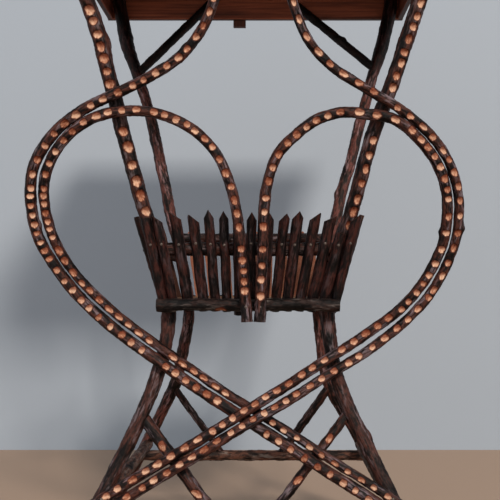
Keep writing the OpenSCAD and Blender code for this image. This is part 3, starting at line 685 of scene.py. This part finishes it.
def sapling_material(name, dark="#060303", brown="#211512", red="#4b2a22", grey="#6f6166",
                     furrowed=1.0, shaded_above=None):
    """Old bark of a hazel or alder sapling, dull: broad patches of dark, brown and red, black in
    its furrows as far as it is furrowed, partly as painted shade, with a grey bloom that is
    partly a painted sheen. Where it is cut it shows raw sapwood, with painted shade on the upper
    part of a chip. Above a given height in metres it is darker: painted shade of the table top."""
    material, tree, shader = new_material(name)
    stem = add(tree, "Attribute", attribute_name="stem")["Vector"]
    cut = add(tree, "Attribute", attribute_name="cut")["Fac"]
    chip = add(tree, "Attribute", attribute_name="chip")["Vector"]
    number, height, _ = add(tree, "SeparateXYZ", [chip])
    broad, fine, streak, fibre, patch = patterns(tree, stem, BARK_PATTERNS)

    value = uneven(tree, 0.5, (0.7, broad), (0.3, fine))
    stops = [(0.42, dark), (0.485, brown), (0.56, red), (0.63, brown)]
    patches = add(tree, "ValToRGB", [value], stops)[0]
    # Black in the furrows: partly dark bark, partly painted shade.
    base = coat(tree, srgb(dark), patches, fine, 0.34, 0.54, 1 - furrowed)
    # Grey on the crests: bloom, and partly a painted sheen.
    crests = coat(tree, base, srgb(grey), fine, 0.44, 0.6)
    colour = coat(tree, base, crests, streak, 0.5, 0.64, 0, 0.8)

    tone = add(tree, "TexWhiteNoise", {"W": number}, noise_dimensions="1D")["Value"]
    light = uneven(tree, 0.5, (0.4, fibre), (0.6, patch), (0.3, tone))
    wood = add(tree, "ValToRGB", [light], RAW_WOOD)[0]
    # Painted shade: the upper part of each chip is darker.
    wood = coat(tree, wood, srgb(CHIP_SHADE), uneven(tree, height, (6, patch)), -0.6, 2.2, 0, 0.8)
    edge = uneven(tree, cut, (0.4, fine), (0.7, patch))
    colour = coat(tree, colour, srgb(INNER_BARK), edge, -0.12, 0.03)
    colour = coat(tree, colour, wood, edge, 0.12, 0.5)
    colour = coat(tree, colour, srgb(SAWN_END), cut, 1.3, 1.9, 0, 0.92)
    # Painted shade of the table top: the bark is darker above the given height.
    if shaded_above:
        z = add(tree, "SeparateXYZ", [add(tree, "TexCoord")["Object"]])["Z"]
        colour = coat(tree, colour, srgb(TOP_SHADE_TINT), z, shaded_above - 0.02, shaded_above + 0.02,
                      how="MULTIPLY")
    ridges = uneven(tree, 0.5, (1, fine), (0.8, broad))
    relief = add(tree, "Bump", {"Height": ridges, "Distance": 0.0012, "Strength": 0.9})["Normal"]
    dull = add(tree, "MapRange", [edge, 0, 0.2, 0.52, 0.72], interpolation_type="SMOOTHSTEP")[0]
    connect(tree, shader, {"Base Color": colour, "Roughness": dull, "Specular IOR Level": 0.13,
                           "Normal": relief})
    return material


carved = sapling_material("carved_sapling_bark")
leg_bark = sapling_material("front_leg_bark", brown="#241714", red="#472821", grey="#625659",
                            furrowed=0.8)
bark = sapling_material("plain_sapling_bark", brown="#1e1310", red="#40231c", grey="#6b5e60")
# The rear legs are darker above 0.595 m: painted shade of the table top.
rear_bark = sapling_material("rear_leg_bark", "#0a0504", "#30201b", "#633730", "#8f7071", 0.65,
                             0.595)
# The upper braces under the top get near-black bark: painted shade of the top.
shaded = sapling_material("dark_brace_bark", "#030202", "#0f0908", "#22110d", "#262123")
weathered = sapling_material("weathered_stretcher_bark", "#150c09", "#3f2a22", "#5e3c2f",
                             "#6f655e")
rail_bark = sapling_material("weathered_rail_bark", "#060404", "#171110", "#2b1b17", "#625b57")
picket_bark = sapling_material("split_picket_bark", brown="#1a0e0c", red="#3a1c17",
                               grey="#3a3032")

# %% Old boards
# Sizes of the wood's features across and along the board in mm, detail, roughness and
# distortion: growth rings, broad patches and pores. STOPS are the places of three colours.
WOOD_PATTERNS = [(3.8, 110, 3, 0.55, 0.4), (33, 200, 3, 0.6, 0), (0.7, 16, 2, 0.6, 0)]
STOPS = (0.36, 0.5, 0.64)
STAINED = ("#20110c", "#3b2118", "#523024")
# Inner faces of the aprons: raw wood, and painted light, lighter than the outside in place of
# bounce light.
UNSTAINED_AND_LIT = ("#452114", "#7b3f29", "#9e573b")
BATTEN = ("#2b140e", "#4b261a", "#643524")
PLANK = ("#2b160e", "#4d2c1e", "#6b4430")
FLOOR = ("#4a3324", "#7a5638", "#9a7350")


def board_material(name, outside, axis, inside=None, inner=(0, 0)):
    """Old sawn pine: bands of growth rings about 4 mm apart and drawn out along the board,
    with fine pores and dirt, its grain along the given axis. Faces that lie no farther out
    than the places inner, across and front to back, have the colours inside: raw wood, and
    painted light, lighter than the outside in place of the bounce light that the shaded inner
    faces lack."""
    material, tree, shader = new_material(name)
    where = add(tree, "TexCoord")["Object"]
    rows = [([along if k == axis else across for k in range(3)], *levels)
            for across, along, *levels in WOOD_PATTERNS]
    rings, patch, pore = patterns(tree, where, rows)
    value = uneven(tree, 0.5, (0.5, rings), (0.35, patch), (0.15, pore))
    colour = add(tree, "ValToRGB", [value], list(zip(STOPS, outside)))[0]
    if inside:
        # Painted light on the inner faces, together with their raw wood colour.
        raw_and_lit = add(tree, "ValToRGB", [value], list(zip(STOPS, inside)))[0]
        far = add(tree, "VectorMath", [where], operation="ABSOLUTE")[0]
        past = add(tree, "VectorMath", [far, (*inner, 0)], operation="SUBTRACT")[0]
        x, y, _ = add(tree, "SeparateXYZ", [past])
        out = add(tree, "Math", [x, y], operation="MAXIMUM")[0]
        colour = coat(tree, raw_and_lit, colour, out, 0.0008, 0.0016)
    relief = add(tree, "Bump", {"Height": value, "Distance": 0.0006, "Strength": 0.7})["Normal"]
    connect(tree, shader, {"Base Color": colour, "Roughness": 0.6, "Normal": relief})
    return material


inner_faces = (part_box("right_apron")[0][0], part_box("rear_apron")[0][1])
old_board = board_material("old_apron_board", STAINED, 0, UNSTAINED_AND_LIT, inner_faces)
side_board = board_material("old_side_board", STAINED, 1, UNSTAINED_AND_LIT, inner_faces)
upright_board = board_material("old_batten", BATTEN, 2)
top_plank = board_material("old_top_plank", PLANK, 0)
floor_plank = board_material("basket_floor_plank", FLOOR, 0)
print("materials", len(bpy.data.materials))

# %% [markdown]
# ## The legs
#
# The front legs are chip carved above the basket only, where the tapering bark was still
# easy to cut. The chips face the middle of the front a little, as the carver stood there.

# %% Legs
# A stretch of chips is [first and last place along the stick in mm, how many chips, their turn
# from the viewer at its start and at its end in degrees, half their length in mm]
LEG_CHIPS = {(-1, -1): [(406, 406, 1, -7, -7, 4), (437, 514, 6, 9, 5, 4.3),
                        (559, 625, 7, -13, -9, 3.6), (641, 703, 5, -8, -8, 4.1)],
             (1, -1): [(424, 508, 7, 27, 25, 3.9), (559, 635, 8, 20, 24, 3.4),
                       (652, 699, 4, 26, 26, 3.6)],
             (-1, 1): [], (1, 1): []}
LEG_CHIP_WIDE = {-1: 0.68, 1: 0.58}
LEG_KNOTS = {(-1, -1): [(595, 1.7, 2.2, 9, 0.6), (330, -1.2, 1.2, 7, 0.6)],
             (1, -1): [(208, 1.6, 1.8, 8, 0.6), (390, -1.4, 1.2, 6, 0.6)],
             (1, 1): [(484, -1.5, 2.4, 7, 0.5), (200, 1.5, 1.5, 10, 0.7)],
             (-1, 1): [(718, 1.6, 1.6, 6, 0.6), (560, -1.6, 1.4, 9, 0.6),
                       (240, 1.5, 1.2, 9, 0.6)]}
LEG_CHIP_DEPTH, POLE_CHIP_DEPTH = 3, 2.4


def as_chips(stretches, depth, seed, wide=CHIP_WIDE):
    """Chips [place, turn in radians, half length, depth, wide] spread along the stretches. A
    hand is never even: each one is a little off its place and turn, and longer ones go deeper."""
    rng = np.random.default_rng(seed)
    chips = []
    for first, last, count, turn, last_turn, half in stretches:
        gap = (last - first) / max(count - 1, 1)
        place = np.linspace(first, last, count) + rng.uniform(-0.08, 0.08, count) * gap
        angle = np.radians(np.linspace(turn, last_turn, count) + rng.normal(0, 3, count))
        long = half * rng.uniform(0.85, 1.2, count)
        chips += zip(place, angle, 1.2 * long, depth * np.clip(long / 4, 0.7, 1.2),
                     wide * rng.uniform(0.9, 1.1, count))
    return chips


# The line goes on 5 mm past both ends of a leg, which are then sawn off level
leg_heights = np.linspace(-5, LEG_H + 5, 520)
for side, end, node in ((-1, -1, "front_left_leg"), (1, -1, "front_right_leg"),
                        (-1, 1, "rear_left_leg"), (1, 1, "rear_right_leg")):
    slot, finish = ("carved_sapling", leg_bark) if end < 0 else ("bark_sapling", rear_bark)
    tube("table_" + node, leg_line(side, end, leg_heights), leg_r(leg_heights), slot, finish,
         node, 11 + side + 3 * end, 0.3, ring=1.2, wobble=0.35, level=(0, LEG_H),
         chips=as_chips(LEG_CHIPS[side, end], LEG_CHIP_DEPTH, 40 + side, LEG_CHIP_WIDE[side]),
         knots=LEG_KNOTS[side, end])

# %% [markdown]
# ## The heart poles
#
# Rows of chips run the whole length of each pole, one every 9 to 18 mm, never quite even.
# They face the viewer rather than straight ahead, and swing a little where a pole twists.

# %% Heart poles
POLE_CHIPS = {
    "left_outer_pole": [
        (12, 149, 11, 6, 12, 3), (163, 261, 9, 8, 4, 3.1), (273, 345, 6, -1, -6, 3.5),
        (360, 417, 5, -10, -4, 3.1), (425, 488, 8, 0, 8, 2.6), (501, 561, 6, 15, 14, 2.7),
        (576, 615, 4, 5, 3, 3), (643, 703, 6, 0, -6, 3.6), (759, 898, 11, 12, 17, 3)],
    "left_inner_pole": [
        (29, 69, 5, 0, 1, 3), (89, 155, 6, 0, -2, 3.4), (167, 231, 7, 10, 8, 3.1),
        (246, 298, 5, 15, 11, 3.4), (311, 373, 6, 0, -4, 3.1), (380, 421, 6, 6, 8, 2.6),
        (434, 472, 4, 16, 17, 3.9), (484, 559, 7, 9, 10, 4), (587, 649, 6, 13, 5, 3.9),
        (688, 757, 6, 10, 20, 3.3), (772, 828, 5, 16, 16, 3.3)],
    "right_outer_pole": [
        (11, 152, 11, -3, -8, 3), (166, 277, 8, -10, -20, 3.8), (304, 361, 5, 2, -10, 3.4),
        (372, 427, 5, -21, -18, 3.1), (444, 502, 5, -11, -17, 3.5), (513, 570, 5, -12, -6, 3.4),
        (587, 659, 6, -2, 8, 3.6), (674, 744, 7, 16, 20, 3), (759, 840, 7, 22, 14, 3.5),
        (855, 886, 3, 12, 14, 3.3)],
    "right_inner_pole": [
        (26, 68, 4, 1, -6, 3), (89, 160, 6, 5, 15, 3.1), (172, 218, 5, 8, 9, 3),
        (230, 280, 4, -6, -4, 3.9), (300, 364, 7, -21, -23, 3.3), (374, 423, 4, -20, -13, 3.1),
        (438, 493, 6, -15, -16, 3), (507, 564, 5, 6, 11, 4), (584, 638, 5, 11, 14, 4.1),
        (650, 709, 6, 17, 17, 3.5), (723, 824, 8, 19, 4, 3.8)]}
POLE_KNOTS = {"left_outer_pole": [(453, -1.5, 1.3, 4, 0.5), (212, 1.5, 0.9, 4, 0.5)],
              "left_inner_pole": [(600, 1.5, 0.9, 5, 0.5)],
              "right_outer_pole": [(439, -1.5, 1.9, 4, 0.5)],
              "right_inner_pole": [(406, 1.5, 1.7, 3.5, 0.45)]}
for number, (node, (line, radius)) in enumerate(pole_lines.items()):
    tube("heart_" + node, line, radius, "carved_sapling", carved, node, 90 + number, 0.22,
         ring=0.8, wobble=0.2, knots=POLE_KNOTS[node],
         chips=as_chips(POLE_CHIPS[node], POLE_CHIP_DEPTH, 50 + number))
print("chips", sum(row[2] for rows in (LEG_CHIPS | POLE_CHIPS).values() for row in rows))

# %% [markdown]
# ## Stretchers, hoop bars and braces
#
# These are straight sticks that end against round legs. A maker scribes such an end with a
# knife until it sits. Here each line along the stick is run outwards from the middle until
# it would enter a leg, and the stick's surface stops there.

# %% Straight sticks
# Each line along a bar is probed at PROBES places, from REACH before it to REACH after it
PROBES, REACH, BAR_RING = 600, 30, 1.4


def in_legs(place, across):
    """Tells which points lie inside the two legs that a bar runs between, or past them: across
    the table at the end place, or else from front to back on the side place."""
    def test(p):
        """Nearer to a leg's line than its radius and half the clearance, square to its lean, or
        within 0.6 of its radius of the plane through its line that the bar crosses."""
        z = p[..., 2]
        hit = np.zeros(z.shape, bool)
        for other in (-1, 1):
            side, end = (other, place) if across else (place, other)
            cx, cy = side * centre_x(side, end, z), end * leg_y(z)
            sx, sy = slope_of(lambda q: centre_x(side, end, q), z), slope_of(leg_y, z)
            dx, dy = (p[..., 0] - cx) / np.hypot(1, sx), (p[..., 1] - cy) / np.hypot(1, sy)
            inside = np.hypot(dx, dy) < leg_r(z) + FIT / 2
            hit |= inside | (np.abs(dx if across else dy) < 0.6 * leg_r(z))
        return hit
    return test


def bar(name, a, b, diameter, slot, material, node, blocked, seed, rough, toward=(0, -1, 0),
        **more):
    """A straight stick between a and b, scribed to what blocked tells to be in its way."""
    a, b = np.array(a, float), np.array(b, float)
    length = np.linalg.norm(b - a)
    t = (b - a) / length
    front = square_to(t, np.array(toward, float))
    probe = np.linspace(-REACH, length + REACH, PROBES)[:, None]
    hit = blocked(a + probe[..., None] * t + diameter / 2 * circle(t, front, BAR_ANGLES))
    low, high = probe[:PROBES // 2], probe[PROBES // 2:]
    start = np.where(hit[:PROBES // 2], low, -REACH).max(0)
    stop = np.where(hit[PROBES // 2:], high, length + REACH).min(0)
    s = start + (stop - start) * np.linspace(0, 1, int(length / BAR_RING) + 2)[:, None]
    shape = (len(s), 3)
    stick(name, a + s[..., None] * t, np.broadcast_to(t, shape), np.broadcast_to(front, shape), s,
          np.full((len(s), 1), diameter / 2), BAR_ANGLES, BAR_RELIEF, slot, material, node, seed,
          rough, **more)


# %% Stretchers and hoop bars
def level_bar(name, node, place, across, off, z, half, diameter, finish, seed, rough, knots=()):
    """A level stick, off by so much from the middle: across the table at the end place, or from
    front to back on the side place. Half is half its length before the legs cut it off."""
    middle = np.array([0, place * off, z] if across else [place * off, 0, z])
    along = np.array([half, 0, 0] if across else [0, half, 0])
    bar(name + node, middle - along, middle + along, diameter, "bark_sapling", finish, node,
        in_legs(place, across), seed + place, rough, knots=knots,
        toward=(0, -1, 0) if across else (place, 0, 0))


STRETCHER_HALF, SIDE_STRETCHER_HALF, HOOP_HALF = 180, 140, 90
STRETCHER_KNOTS = [(90, 1.9, 1.8, 6, 0.6), (245, -1.6, 1.5, 6, 0.6)]
for end, node in ((-1, "front_stretcher"), (1, "rear_stretcher")):
    level_bar("floor_", node, end, True, leg_y(STRETCHER_Z) - SET_IN, STRETCHER_Z,
              STRETCHER_HALF, STRETCHER_D, weathered, 120, 0.35, STRETCHER_KNOTS)
for side, node in ((-1, "left_stretcher"), (1, "right_stretcher")):
    level_bar("floor_", node, side, False, leg_x(SIDE_STRETCHER_Z) - SET_IN, SIDE_STRETCHER_Z,
              SIDE_STRETCHER_HALF, STRETCHER_D, weathered, 130, 0.3)
for end, node, z in ((-1, "front_hoop", HOOP_Z), (1, "rear_hoop", REAR_HOOP_Z)):
    level_bar("basket_", node, end, True, hoop_y(z), z, HOOP_HALF, HOOP_D, bark, 140, 0.3)
for side, node in ((-1, "left_hoop"), (1, "right_hoop")):
    level_bar("basket_", node, side, False, HOOP_X, HOOP_Z, HOOP_HALF, HOOP_D, bark, 150, 0.3)

# %% Braces
# A knee brace is [its height on the leg as a share of KNEE_Z, its foot's distance from the
# middle as a share of KNEE_X, its thickness as a share of KNEE_D]. KNEE_CHIPS are the places of
# its chips from the leg, and KNEE_CHIP is [turn, half length, depth, wide] of each one.
KNEE_Z, KNEE_X, KNEE_D = 197, 30, 10
KNEES = {(-1, -1): (0.98, 1, 1.2), (1, -1): (1, 0.7, 0.94), (-1, 1): (0.985, 1.3, 0.86),
         (1, 1): (0.985, 1.1, 1.06)}
KNEE_CHIPS = {(-1, -1): (36, 92, 112), (1, -1): (33, 82), (-1, 1): (), (1, 1): ()}
KNEE_CHIP = (0.1, 5.5, 1.5, CHIP_WIDE)
for (side, end), (high, foot, thick) in KNEES.items():
    z, seat = KNEE_Z * high, STRETCHER_Z + STRETCHER_D / 2 + FIT / 2
    node = f"{'front' if end < 0 else 'rear'}_{'left' if side < 0 else 'right'}_knee_brace"
    slot, finish = ("carved_sapling", carved) if end < 0 else ("bark_sapling", bark)
    legs = in_legs(end, True)
    top = (side * centre_x(side, end, z), end * (leg_y(z) - SET_IN), z)
    low = (side * KNEE_X * foot, end * (leg_y(STRETCHER_Z) - SET_IN), STRETCHER_Z)
    bar(node + "_stick", top, low, KNEE_D * thick, slot, finish, node,
        lambda p: legs(p) | (p[..., 2] < seat), 160 + side + 3 * end, 0.28,
        chips=[(place, *KNEE_CHIP) for place in KNEE_CHIPS[side, end]])

# An upper brace is [its upper end's drop below the leg's top, its rise, its knots]. It is cut
# off level BRACE_OVER above its upper end, on all lines that come within BRACE_PAST of it.
BRACE_D, BRACE_X, BRACE_OVER, BRACE_PAST = 11, 58, 3, 4
for side, drop, rise, knots in ((-1, 38, 110, []), (1, 45, 95, [(60, 1.5, 2.0, 4, 0.5)])):
    node = ("left" if side < 0 else "right") + "_upper_brace"
    high, low = LEG_H - drop, LEG_H - drop - rise
    legs = in_legs(1, True)
    bar(node + "_stick", (side * centre_x(side, 1, low), leg_y(low) - SET_IN, low),
        (side * BRACE_X, APRON_Y - FIT - BRACE_D / 2, high), BRACE_D, "bark_sapling", shaded, node,
        lambda p: legs(p) | ((p[..., 2] > high + BRACE_OVER)
                             & (np.abs(p[..., 0]) < BRACE_X + BRACE_PAST)),
        170 + side, 0.25, knots=knots)

# %% [markdown]
# ## The rails of the basket
#
# A rail is a whole stick, nailed over the feet of the pickets at the front and at the back.

# %% Rails
RAIL_KNOTS = [(9, 1.6, 1.5, 7, 0.9), (40, -0.6, 0.8, 8, 0.9), (118, 2.2, 1.2, 6, 0.7),
              (168, 1.9, 1.3, 6, 0.8)]
RAIL_CHIPS = {-1: [(62, 1.15, 6, 1.2, CHIP_WIDE)], 1: []}
x = np.linspace(-basket_x(RAIL_Z), basket_x(RAIL_Z), 200)
for end, node in ((-1, "front_rail"), (1, "rear_rail")):
    line = np.stack([x, np.full_like(x, end * RAIL_Y), np.full_like(x, RAIL_Z)], axis=1)
    tube("basket_" + node, line, np.full_like(x, RAIL_D / 2), "bark_sapling", rail_bark, node,
         180 + end, 0.4, toward=(0, end, 0), wobble=0.3, chips=RAIL_CHIPS[end], knots=RAIL_KNOTS)

# %% [markdown]
# ## The pickets
#
# A picket is a stick split in half, bark outside and raw wood inside, with its point cut by
# two strokes. Each one is a strip of columns across its width: every column runs from the
# foot up to the height that the cut leaves there, once over the round bark and once over
# the flat split face.

# %% Pickets
# A picket is [place of its foot and of its tip in pickets from the middle, width as a share of
# a picket's room, place of the point from -1 to 1, height of the point, how much shorter it is
# at the top, and how much longer at the foot, the last three in heights of a point]
FRONT_ROW = [
    (-7.05, -6.95, 0.84, -0.2, 0.2, 0.7, 0), (-6.2, -6.2, 0.8, -0.7, 0.9, 0.5, 0),
    (-5, -4.95, 0.96, -0.8, 1, 0.1, 0.05), (-3.7, -3.75, 0.92, -0.6, 1, 0.4, 0),
    (-2.75, -2.65, 0.84, 0, 1, 0, 0), (-1.8, -1.65, 0.8, 0, 1, 0.1, 0.05),
    (-0.8, -0.7, 0.82, 0.1, 0.9, 0.6, 0.4), (0.15, 0.25, 0.82, 0, 1, 0.2, 0),
    (1.2, 1.4, 0.96, 0.2, 1, 0.3, 0), (2.2, 2.5, 0.86, 0.3, 1, 0.3, 0.05),
    (3.2, 3.4, 0.94, 0.2, 1, 0.1, 0), (4.2, 4.6, 0.9, 0.7, 1, 0.2, 0),
    (5.2, 5.65, 0.94, 0.8, 0.8, 0.5, 0.05), (6.2, 6.6, 0.94, 0, 0.1, 2.2, 0),
    (7.15, 7.4, 0.86, 0.5, 1, 0.4, 0)]
COLUMNS, PICKET_RING, SPLIT_DEPTH = 15, 2.2, 0.18


def plain_row(count):
    """A regular row of pickets whose tips wander a little."""
    rows = []
    for i in range(count):
        at, wander = i - (count - 1) / 2, (i * 7 + count) % 5 / 5 - 0.4
        rows.append((at, at + wander / 6, 0.8, wander, 0.9, 0.2 + 0.4 * abs(wander), 0))
    return rows


def one_picket(rng, width, length, tip, point, split):
    """Points, faces and cut values of a picket standing on the origin, its split face on y = 0
    and its bark, an arc of a circle PICKET_T high, towards -Y. Its point falls off on both
    sides of the place tip."""
    r = (width * width / 4 + PICKET_T * PICKET_T) / (2 * PICKET_T)
    rows = max(8, int(length / PICKET_RING))
    x = -np.cos(np.linspace(0, np.pi, COLUMNS)) * width / 2
    half = width / 2 + 1
    off = x - tip * half
    fall = np.where(off < 0, -off * min(1, 1 + tip) / max(half + tip * half, 0.01),
                    off * min(1, 1 - tip) / max(half - tip * half, 0.01))
    z = np.linspace(0, 1, rows)[:, None] * (length - point * POINT_H * fall)
    narrow = 1 + ripple(rng, z[:, :1], 0, 0.025, 6, 60, 14, 0)
    shifted = x * narrow + ripple(rng, z[:, :1], 0, 0.2, 6, 90, 25, 0)
    arc = np.sqrt(np.maximum(r * r - x * x, 0)) - (r - PICKET_T)
    lump = ripple(rng, z, x * 0.5, 0.22, 18, 50, 6, 3)
    bark_y = -arc * (1 + 0.03 * ripple(rng, z, 0, 1, 6, 60, 15, 0)) - lump * arc / PICKET_T
    torn = np.abs(ripple(rng, z / 6, x * 4, 1, 12, 30, 4, 3))
    split_y = -SPLIT_DEPTH * torn * np.sin(np.pi * (x / width + 0.5))
    points = np.stack([np.stack([shifted, y, z], axis=-1) for y in (bark_y, split_y)])
    n = rows * COLUMNS
    i, j = np.arange(COLUMNS - 1), np.arange(rows - 1) * COLUMNS
    foot = np.stack([i, n + i, n + i + 1, i + 1], axis=1)
    left = np.stack([j, j + COLUMNS, j + COLUMNS + n, j + n], axis=1)
    faces = [quads_of(rows, COLUMNS, False), quads_of(rows, COLUMNS, False, n)[:, ::-1],
             foot, (foot + n - COLUMNS)[:, ::-1], left, (left + COLUMNS - 1)[:, ::-1]]
    cuts = (-1, split, SAWN, SAWN, split, split)
    return (points.reshape(-1, 3), np.concatenate(faces),
            np.concatenate([np.full(len(f), cut) for f, cut in zip(faces, cuts)]))


def turning(angle, a, b):
    """Matrix that turns a row of points by an angle from axis a towards axis b."""
    matrix = np.eye(3)
    matrix[a, a] = matrix[b, b] = np.cos(angle)
    matrix[a, b], matrix[b, a] = np.sin(angle), -np.sin(angle)
    return matrix


def picket_row(node, seed, split, row, turned, face, lean, half_low, half_high, foot_z):
    """A row of pickets on a leaning face, turned about the middle of the table."""
    rng = np.random.default_rng(seed)
    room = 2 * half_low / len(row)
    tilt = np.arctan(lean)
    parts, first = [], 0
    for foot, head, wide, tip, point, short, long in row:
        low = foot_z - long * POINT_H
        foot_x, head_x = foot * room, head * 2 * half_high / len(row)
        rise = (TIP_Z - low) / np.cos(tilt)
        turn = np.arctan2(head_x - foot_x, rise)
        length = (rise - short * POINT_H) / np.cos(turn)
        p, faces, cuts = one_picket(rng, wide * room, length, tip, point, split)
        stems = p + rng.uniform(0, 500, 3)
        p = p @ turning(turn, 2, 0) @ turning(tilt, 1, 2)
        p = (p + [foot_x, -face - (low - FLOOR_Z) * lean, low]) @ turning(turned, 0, 1)
        parts.append((p, faces + first, cuts, stems * MM))
        first += len(p)
    points, faces, cuts, stems = (np.concatenate(column) for column in zip(*parts))
    values = {"cut": cuts, "stem": stems, "chip": np.full((first, 3), 3.0)}
    new_piece("basket_" + node, points, faces, values, picket_bark, [node],
              smooth_angle=40)


# A row of the basket is [node, seed, cut value of its split faces, above 1 darker towards
# sawn end grain as painted shade, height of its nails, its pickets, its turn, and its face,
# lean, half widths at foot and tips, and height of its feet]
LONG_FACE = (basket_y(FLOOR_Z), PICKET_LEAN_Y, basket_x(FLOOR_Z), basket_x(TIP_Z),
             FLOOR_Z - PICKET_DROP)
SIDE_FACE = (side_x(FLOOR_Z), SIDE_LEAN, leg_y(FLOOR_Z) - SIDE_GAP, leg_y(TIP_Z) - SIDE_GAP,
             FLOOR_Z - SIDE_PICKET_DROP)
basket_rows = [
    ("front_pickets", 200, 1, HOOP_Z + 4, FRONT_ROW, 0, *LONG_FACE),
    ("rear_pickets", 203, 1, REAR_HOOP_Z - 1, plain_row(11), np.pi, *LONG_FACE),
    # The side rows' split faces are darker than the others: painted shade.
    ("left_pickets", 209, 1.75, HOOP_Z, plain_row(12), -np.pi / 2, *SIDE_FACE),
    ("right_pickets", 211, 1.75, HOOP_Z, plain_row(12), np.pi / 2, *SIDE_FACE)]
for node, seed, split, _, *row in basket_rows:
    picket_row(node, seed, split, *row)
print("pickets", sum(len(row[4]) for row in basket_rows))

# %% [markdown]
# ## The nails
#
# Everything is nailed. A head is a low round dome of dull iron, 2.6 mm wide, that lies on
# the wood. All the heads that hold one kind of wood are one piece.

# %% Nails
NAIL_R, NAIL_H, NAIL_SINK, NAIL_SIDES = 1.3, 0.5, 0.6, 12
NAIL_RINGS = np.array([1, 1, 0.8, 0.5, 0])
NAIL_LIFTS = np.array([-NAIL_SINK, 0.12, 0, 0, 0])


def nail_heads(name, places, normals, slot):
    """Domes at the places: rings of radius share * NAIL_R at NAIL_H * (1 - share^2), and a
    rim that goes NAIL_SINK into the wood."""
    places, n = np.array(places, float), np.array(normals, float)
    n /= np.linalg.norm(n, axis=1, keepdims=True)
    u = np.cross(n, np.where(np.abs(n[:, 2:]) < 0.9, [[0.0, 0, 1]], [[1.0, 0, 0]]))
    u /= np.linalg.norm(u, axis=1, keepdims=True)
    phi = np.linspace(0, 2 * np.pi, NAIL_SIDES, endpoint=False)
    height = NAIL_H * (1 - NAIL_RINGS**2) + NAIL_LIFTS
    rings = NAIL_R * NAIL_RINGS[:, None, None] * circle(n, u, phi)[:, None]
    points = places[:, None, None] + rings + height[:, None, None] * n[:, None, None]
    count = len(NAIL_RINGS) * NAIL_SIDES
    faces = np.concatenate([quads_of(len(NAIL_RINGS), NAIL_SIDES, True, k * count)
                            for k in range(len(places))])
    bases = count * np.arange(len(places))[:, None] + np.arange(NAIL_SIDES)[::-1]
    new_piece(name, points.reshape(-1, 3), [*faces, *bases], {}, iron)


def row_nails(z, row, turned, face, lean, half_low, half_high, foot_z):
    """Where the nails of a picket row go in at the height z, and which way they face."""
    count, tilt = len(row), np.arctan(lean)
    foot, head = np.array([r[:2] for r in row], float).T
    share = (z - foot_z) / (TIP_Z - foot_z)
    x = (foot * half_low * (1 - share) + head * half_high * share) * 2 / count
    y = -(face + (z - FLOOR_Z) * lean + PICKET_T / np.cos(tilt) + 0.1) * np.ones(count)
    c, s = np.cos(turned), np.sin(turned)
    places = np.stack([c * x - s * y, s * x + c * y, z + 0.8 * np.sin(7 * x)], axis=1)
    facing = np.array([s * np.cos(tilt), -c * np.cos(tilt), -np.sin(tilt)])
    return places, np.tile(facing, (count, 1))


# Iron gone dull brown-grey, darker in spots about 1 mm wide
iron, tree, shader = new_material("old_nail_iron")
spots = patterns(tree, add(tree, "TexCoord")["Object"], [((1.1, 1.1, 1.1), 3, 0.6)])
rust = add(tree, "ValToRGB", spots, [(0.35, "#2a221f"), (0.6, "#5d534c")])[0]
connect(tree, shader, {"Base Color": rust, "Roughness": 0.55, "Metallic": 0.4})

heads = [row_nails(nail_z, *row) for _, _, _, nail_z, *row in basket_rows]
nail_heads("picket_nails", *(np.concatenate(part) for part in zip(*heads)), "split_picket")

places, facing = [], []
for name, (line, radius) in pole_lines.items():
    inner = "inner" in name
    spots = [np.abs(line[:, 2] - POLE_NAIL_Z - (PAIR_STEP if inner else 0)).argmin()]
    if inner:
        spots.append(np.abs(line[:len(line) // 2, 2] - RAIL_Z + 1).argmin())
    for spot in spots:
        toward = VIEWER - line[spot]
        toward /= np.linalg.norm(toward)
        places.append(line[spot] + toward * radius[spot])
        facing.append(toward)
nail_heads("pole_nails", places, facing, "carved_sapling")

# The nails of the aprons stand 0.05 mm proud, 2 mm inside the legs' middles
PROUD, IN_BY = 0.05, 2
places, facing = [], []
for end, side, share in itertools.product((-1, 1), (-1, 1), (0.3, 0.7)):
    y = end * (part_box("rear_apron")[1][1] / MM + PROUD)
    x = side * (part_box("right_apron")[1][0] / MM + PROUD)
    z = APRON_Z + share * APRON_H
    places += [(side * (SPREAD_W / 2 - IN_BY), y, z), (x, end * (SPREAD_DEPTH / 2 - IN_BY), z + 4)]
    facing += [(0, end, 0), (side, 0, 0)]
nail_heads("board_nails", places, facing, "sawn_board")

# %% [markdown]
# ## The boards
#
# The boards keep the solids' shapes, sawn and chamfered, and get old wood.

# %% Boards
finishes = {"top_board": top_plank, "front_apron": old_board, "rear_apron": old_board,
            "left_apron": side_board, "right_apron": side_board, "rear_batten": upright_board,
            "floor_board": floor_plank}
for word, finish in finishes.items():
    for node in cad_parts:
        if word in node:
            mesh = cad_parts[node].data
            mesh.materials.clear()
            mesh.materials.append(finish)
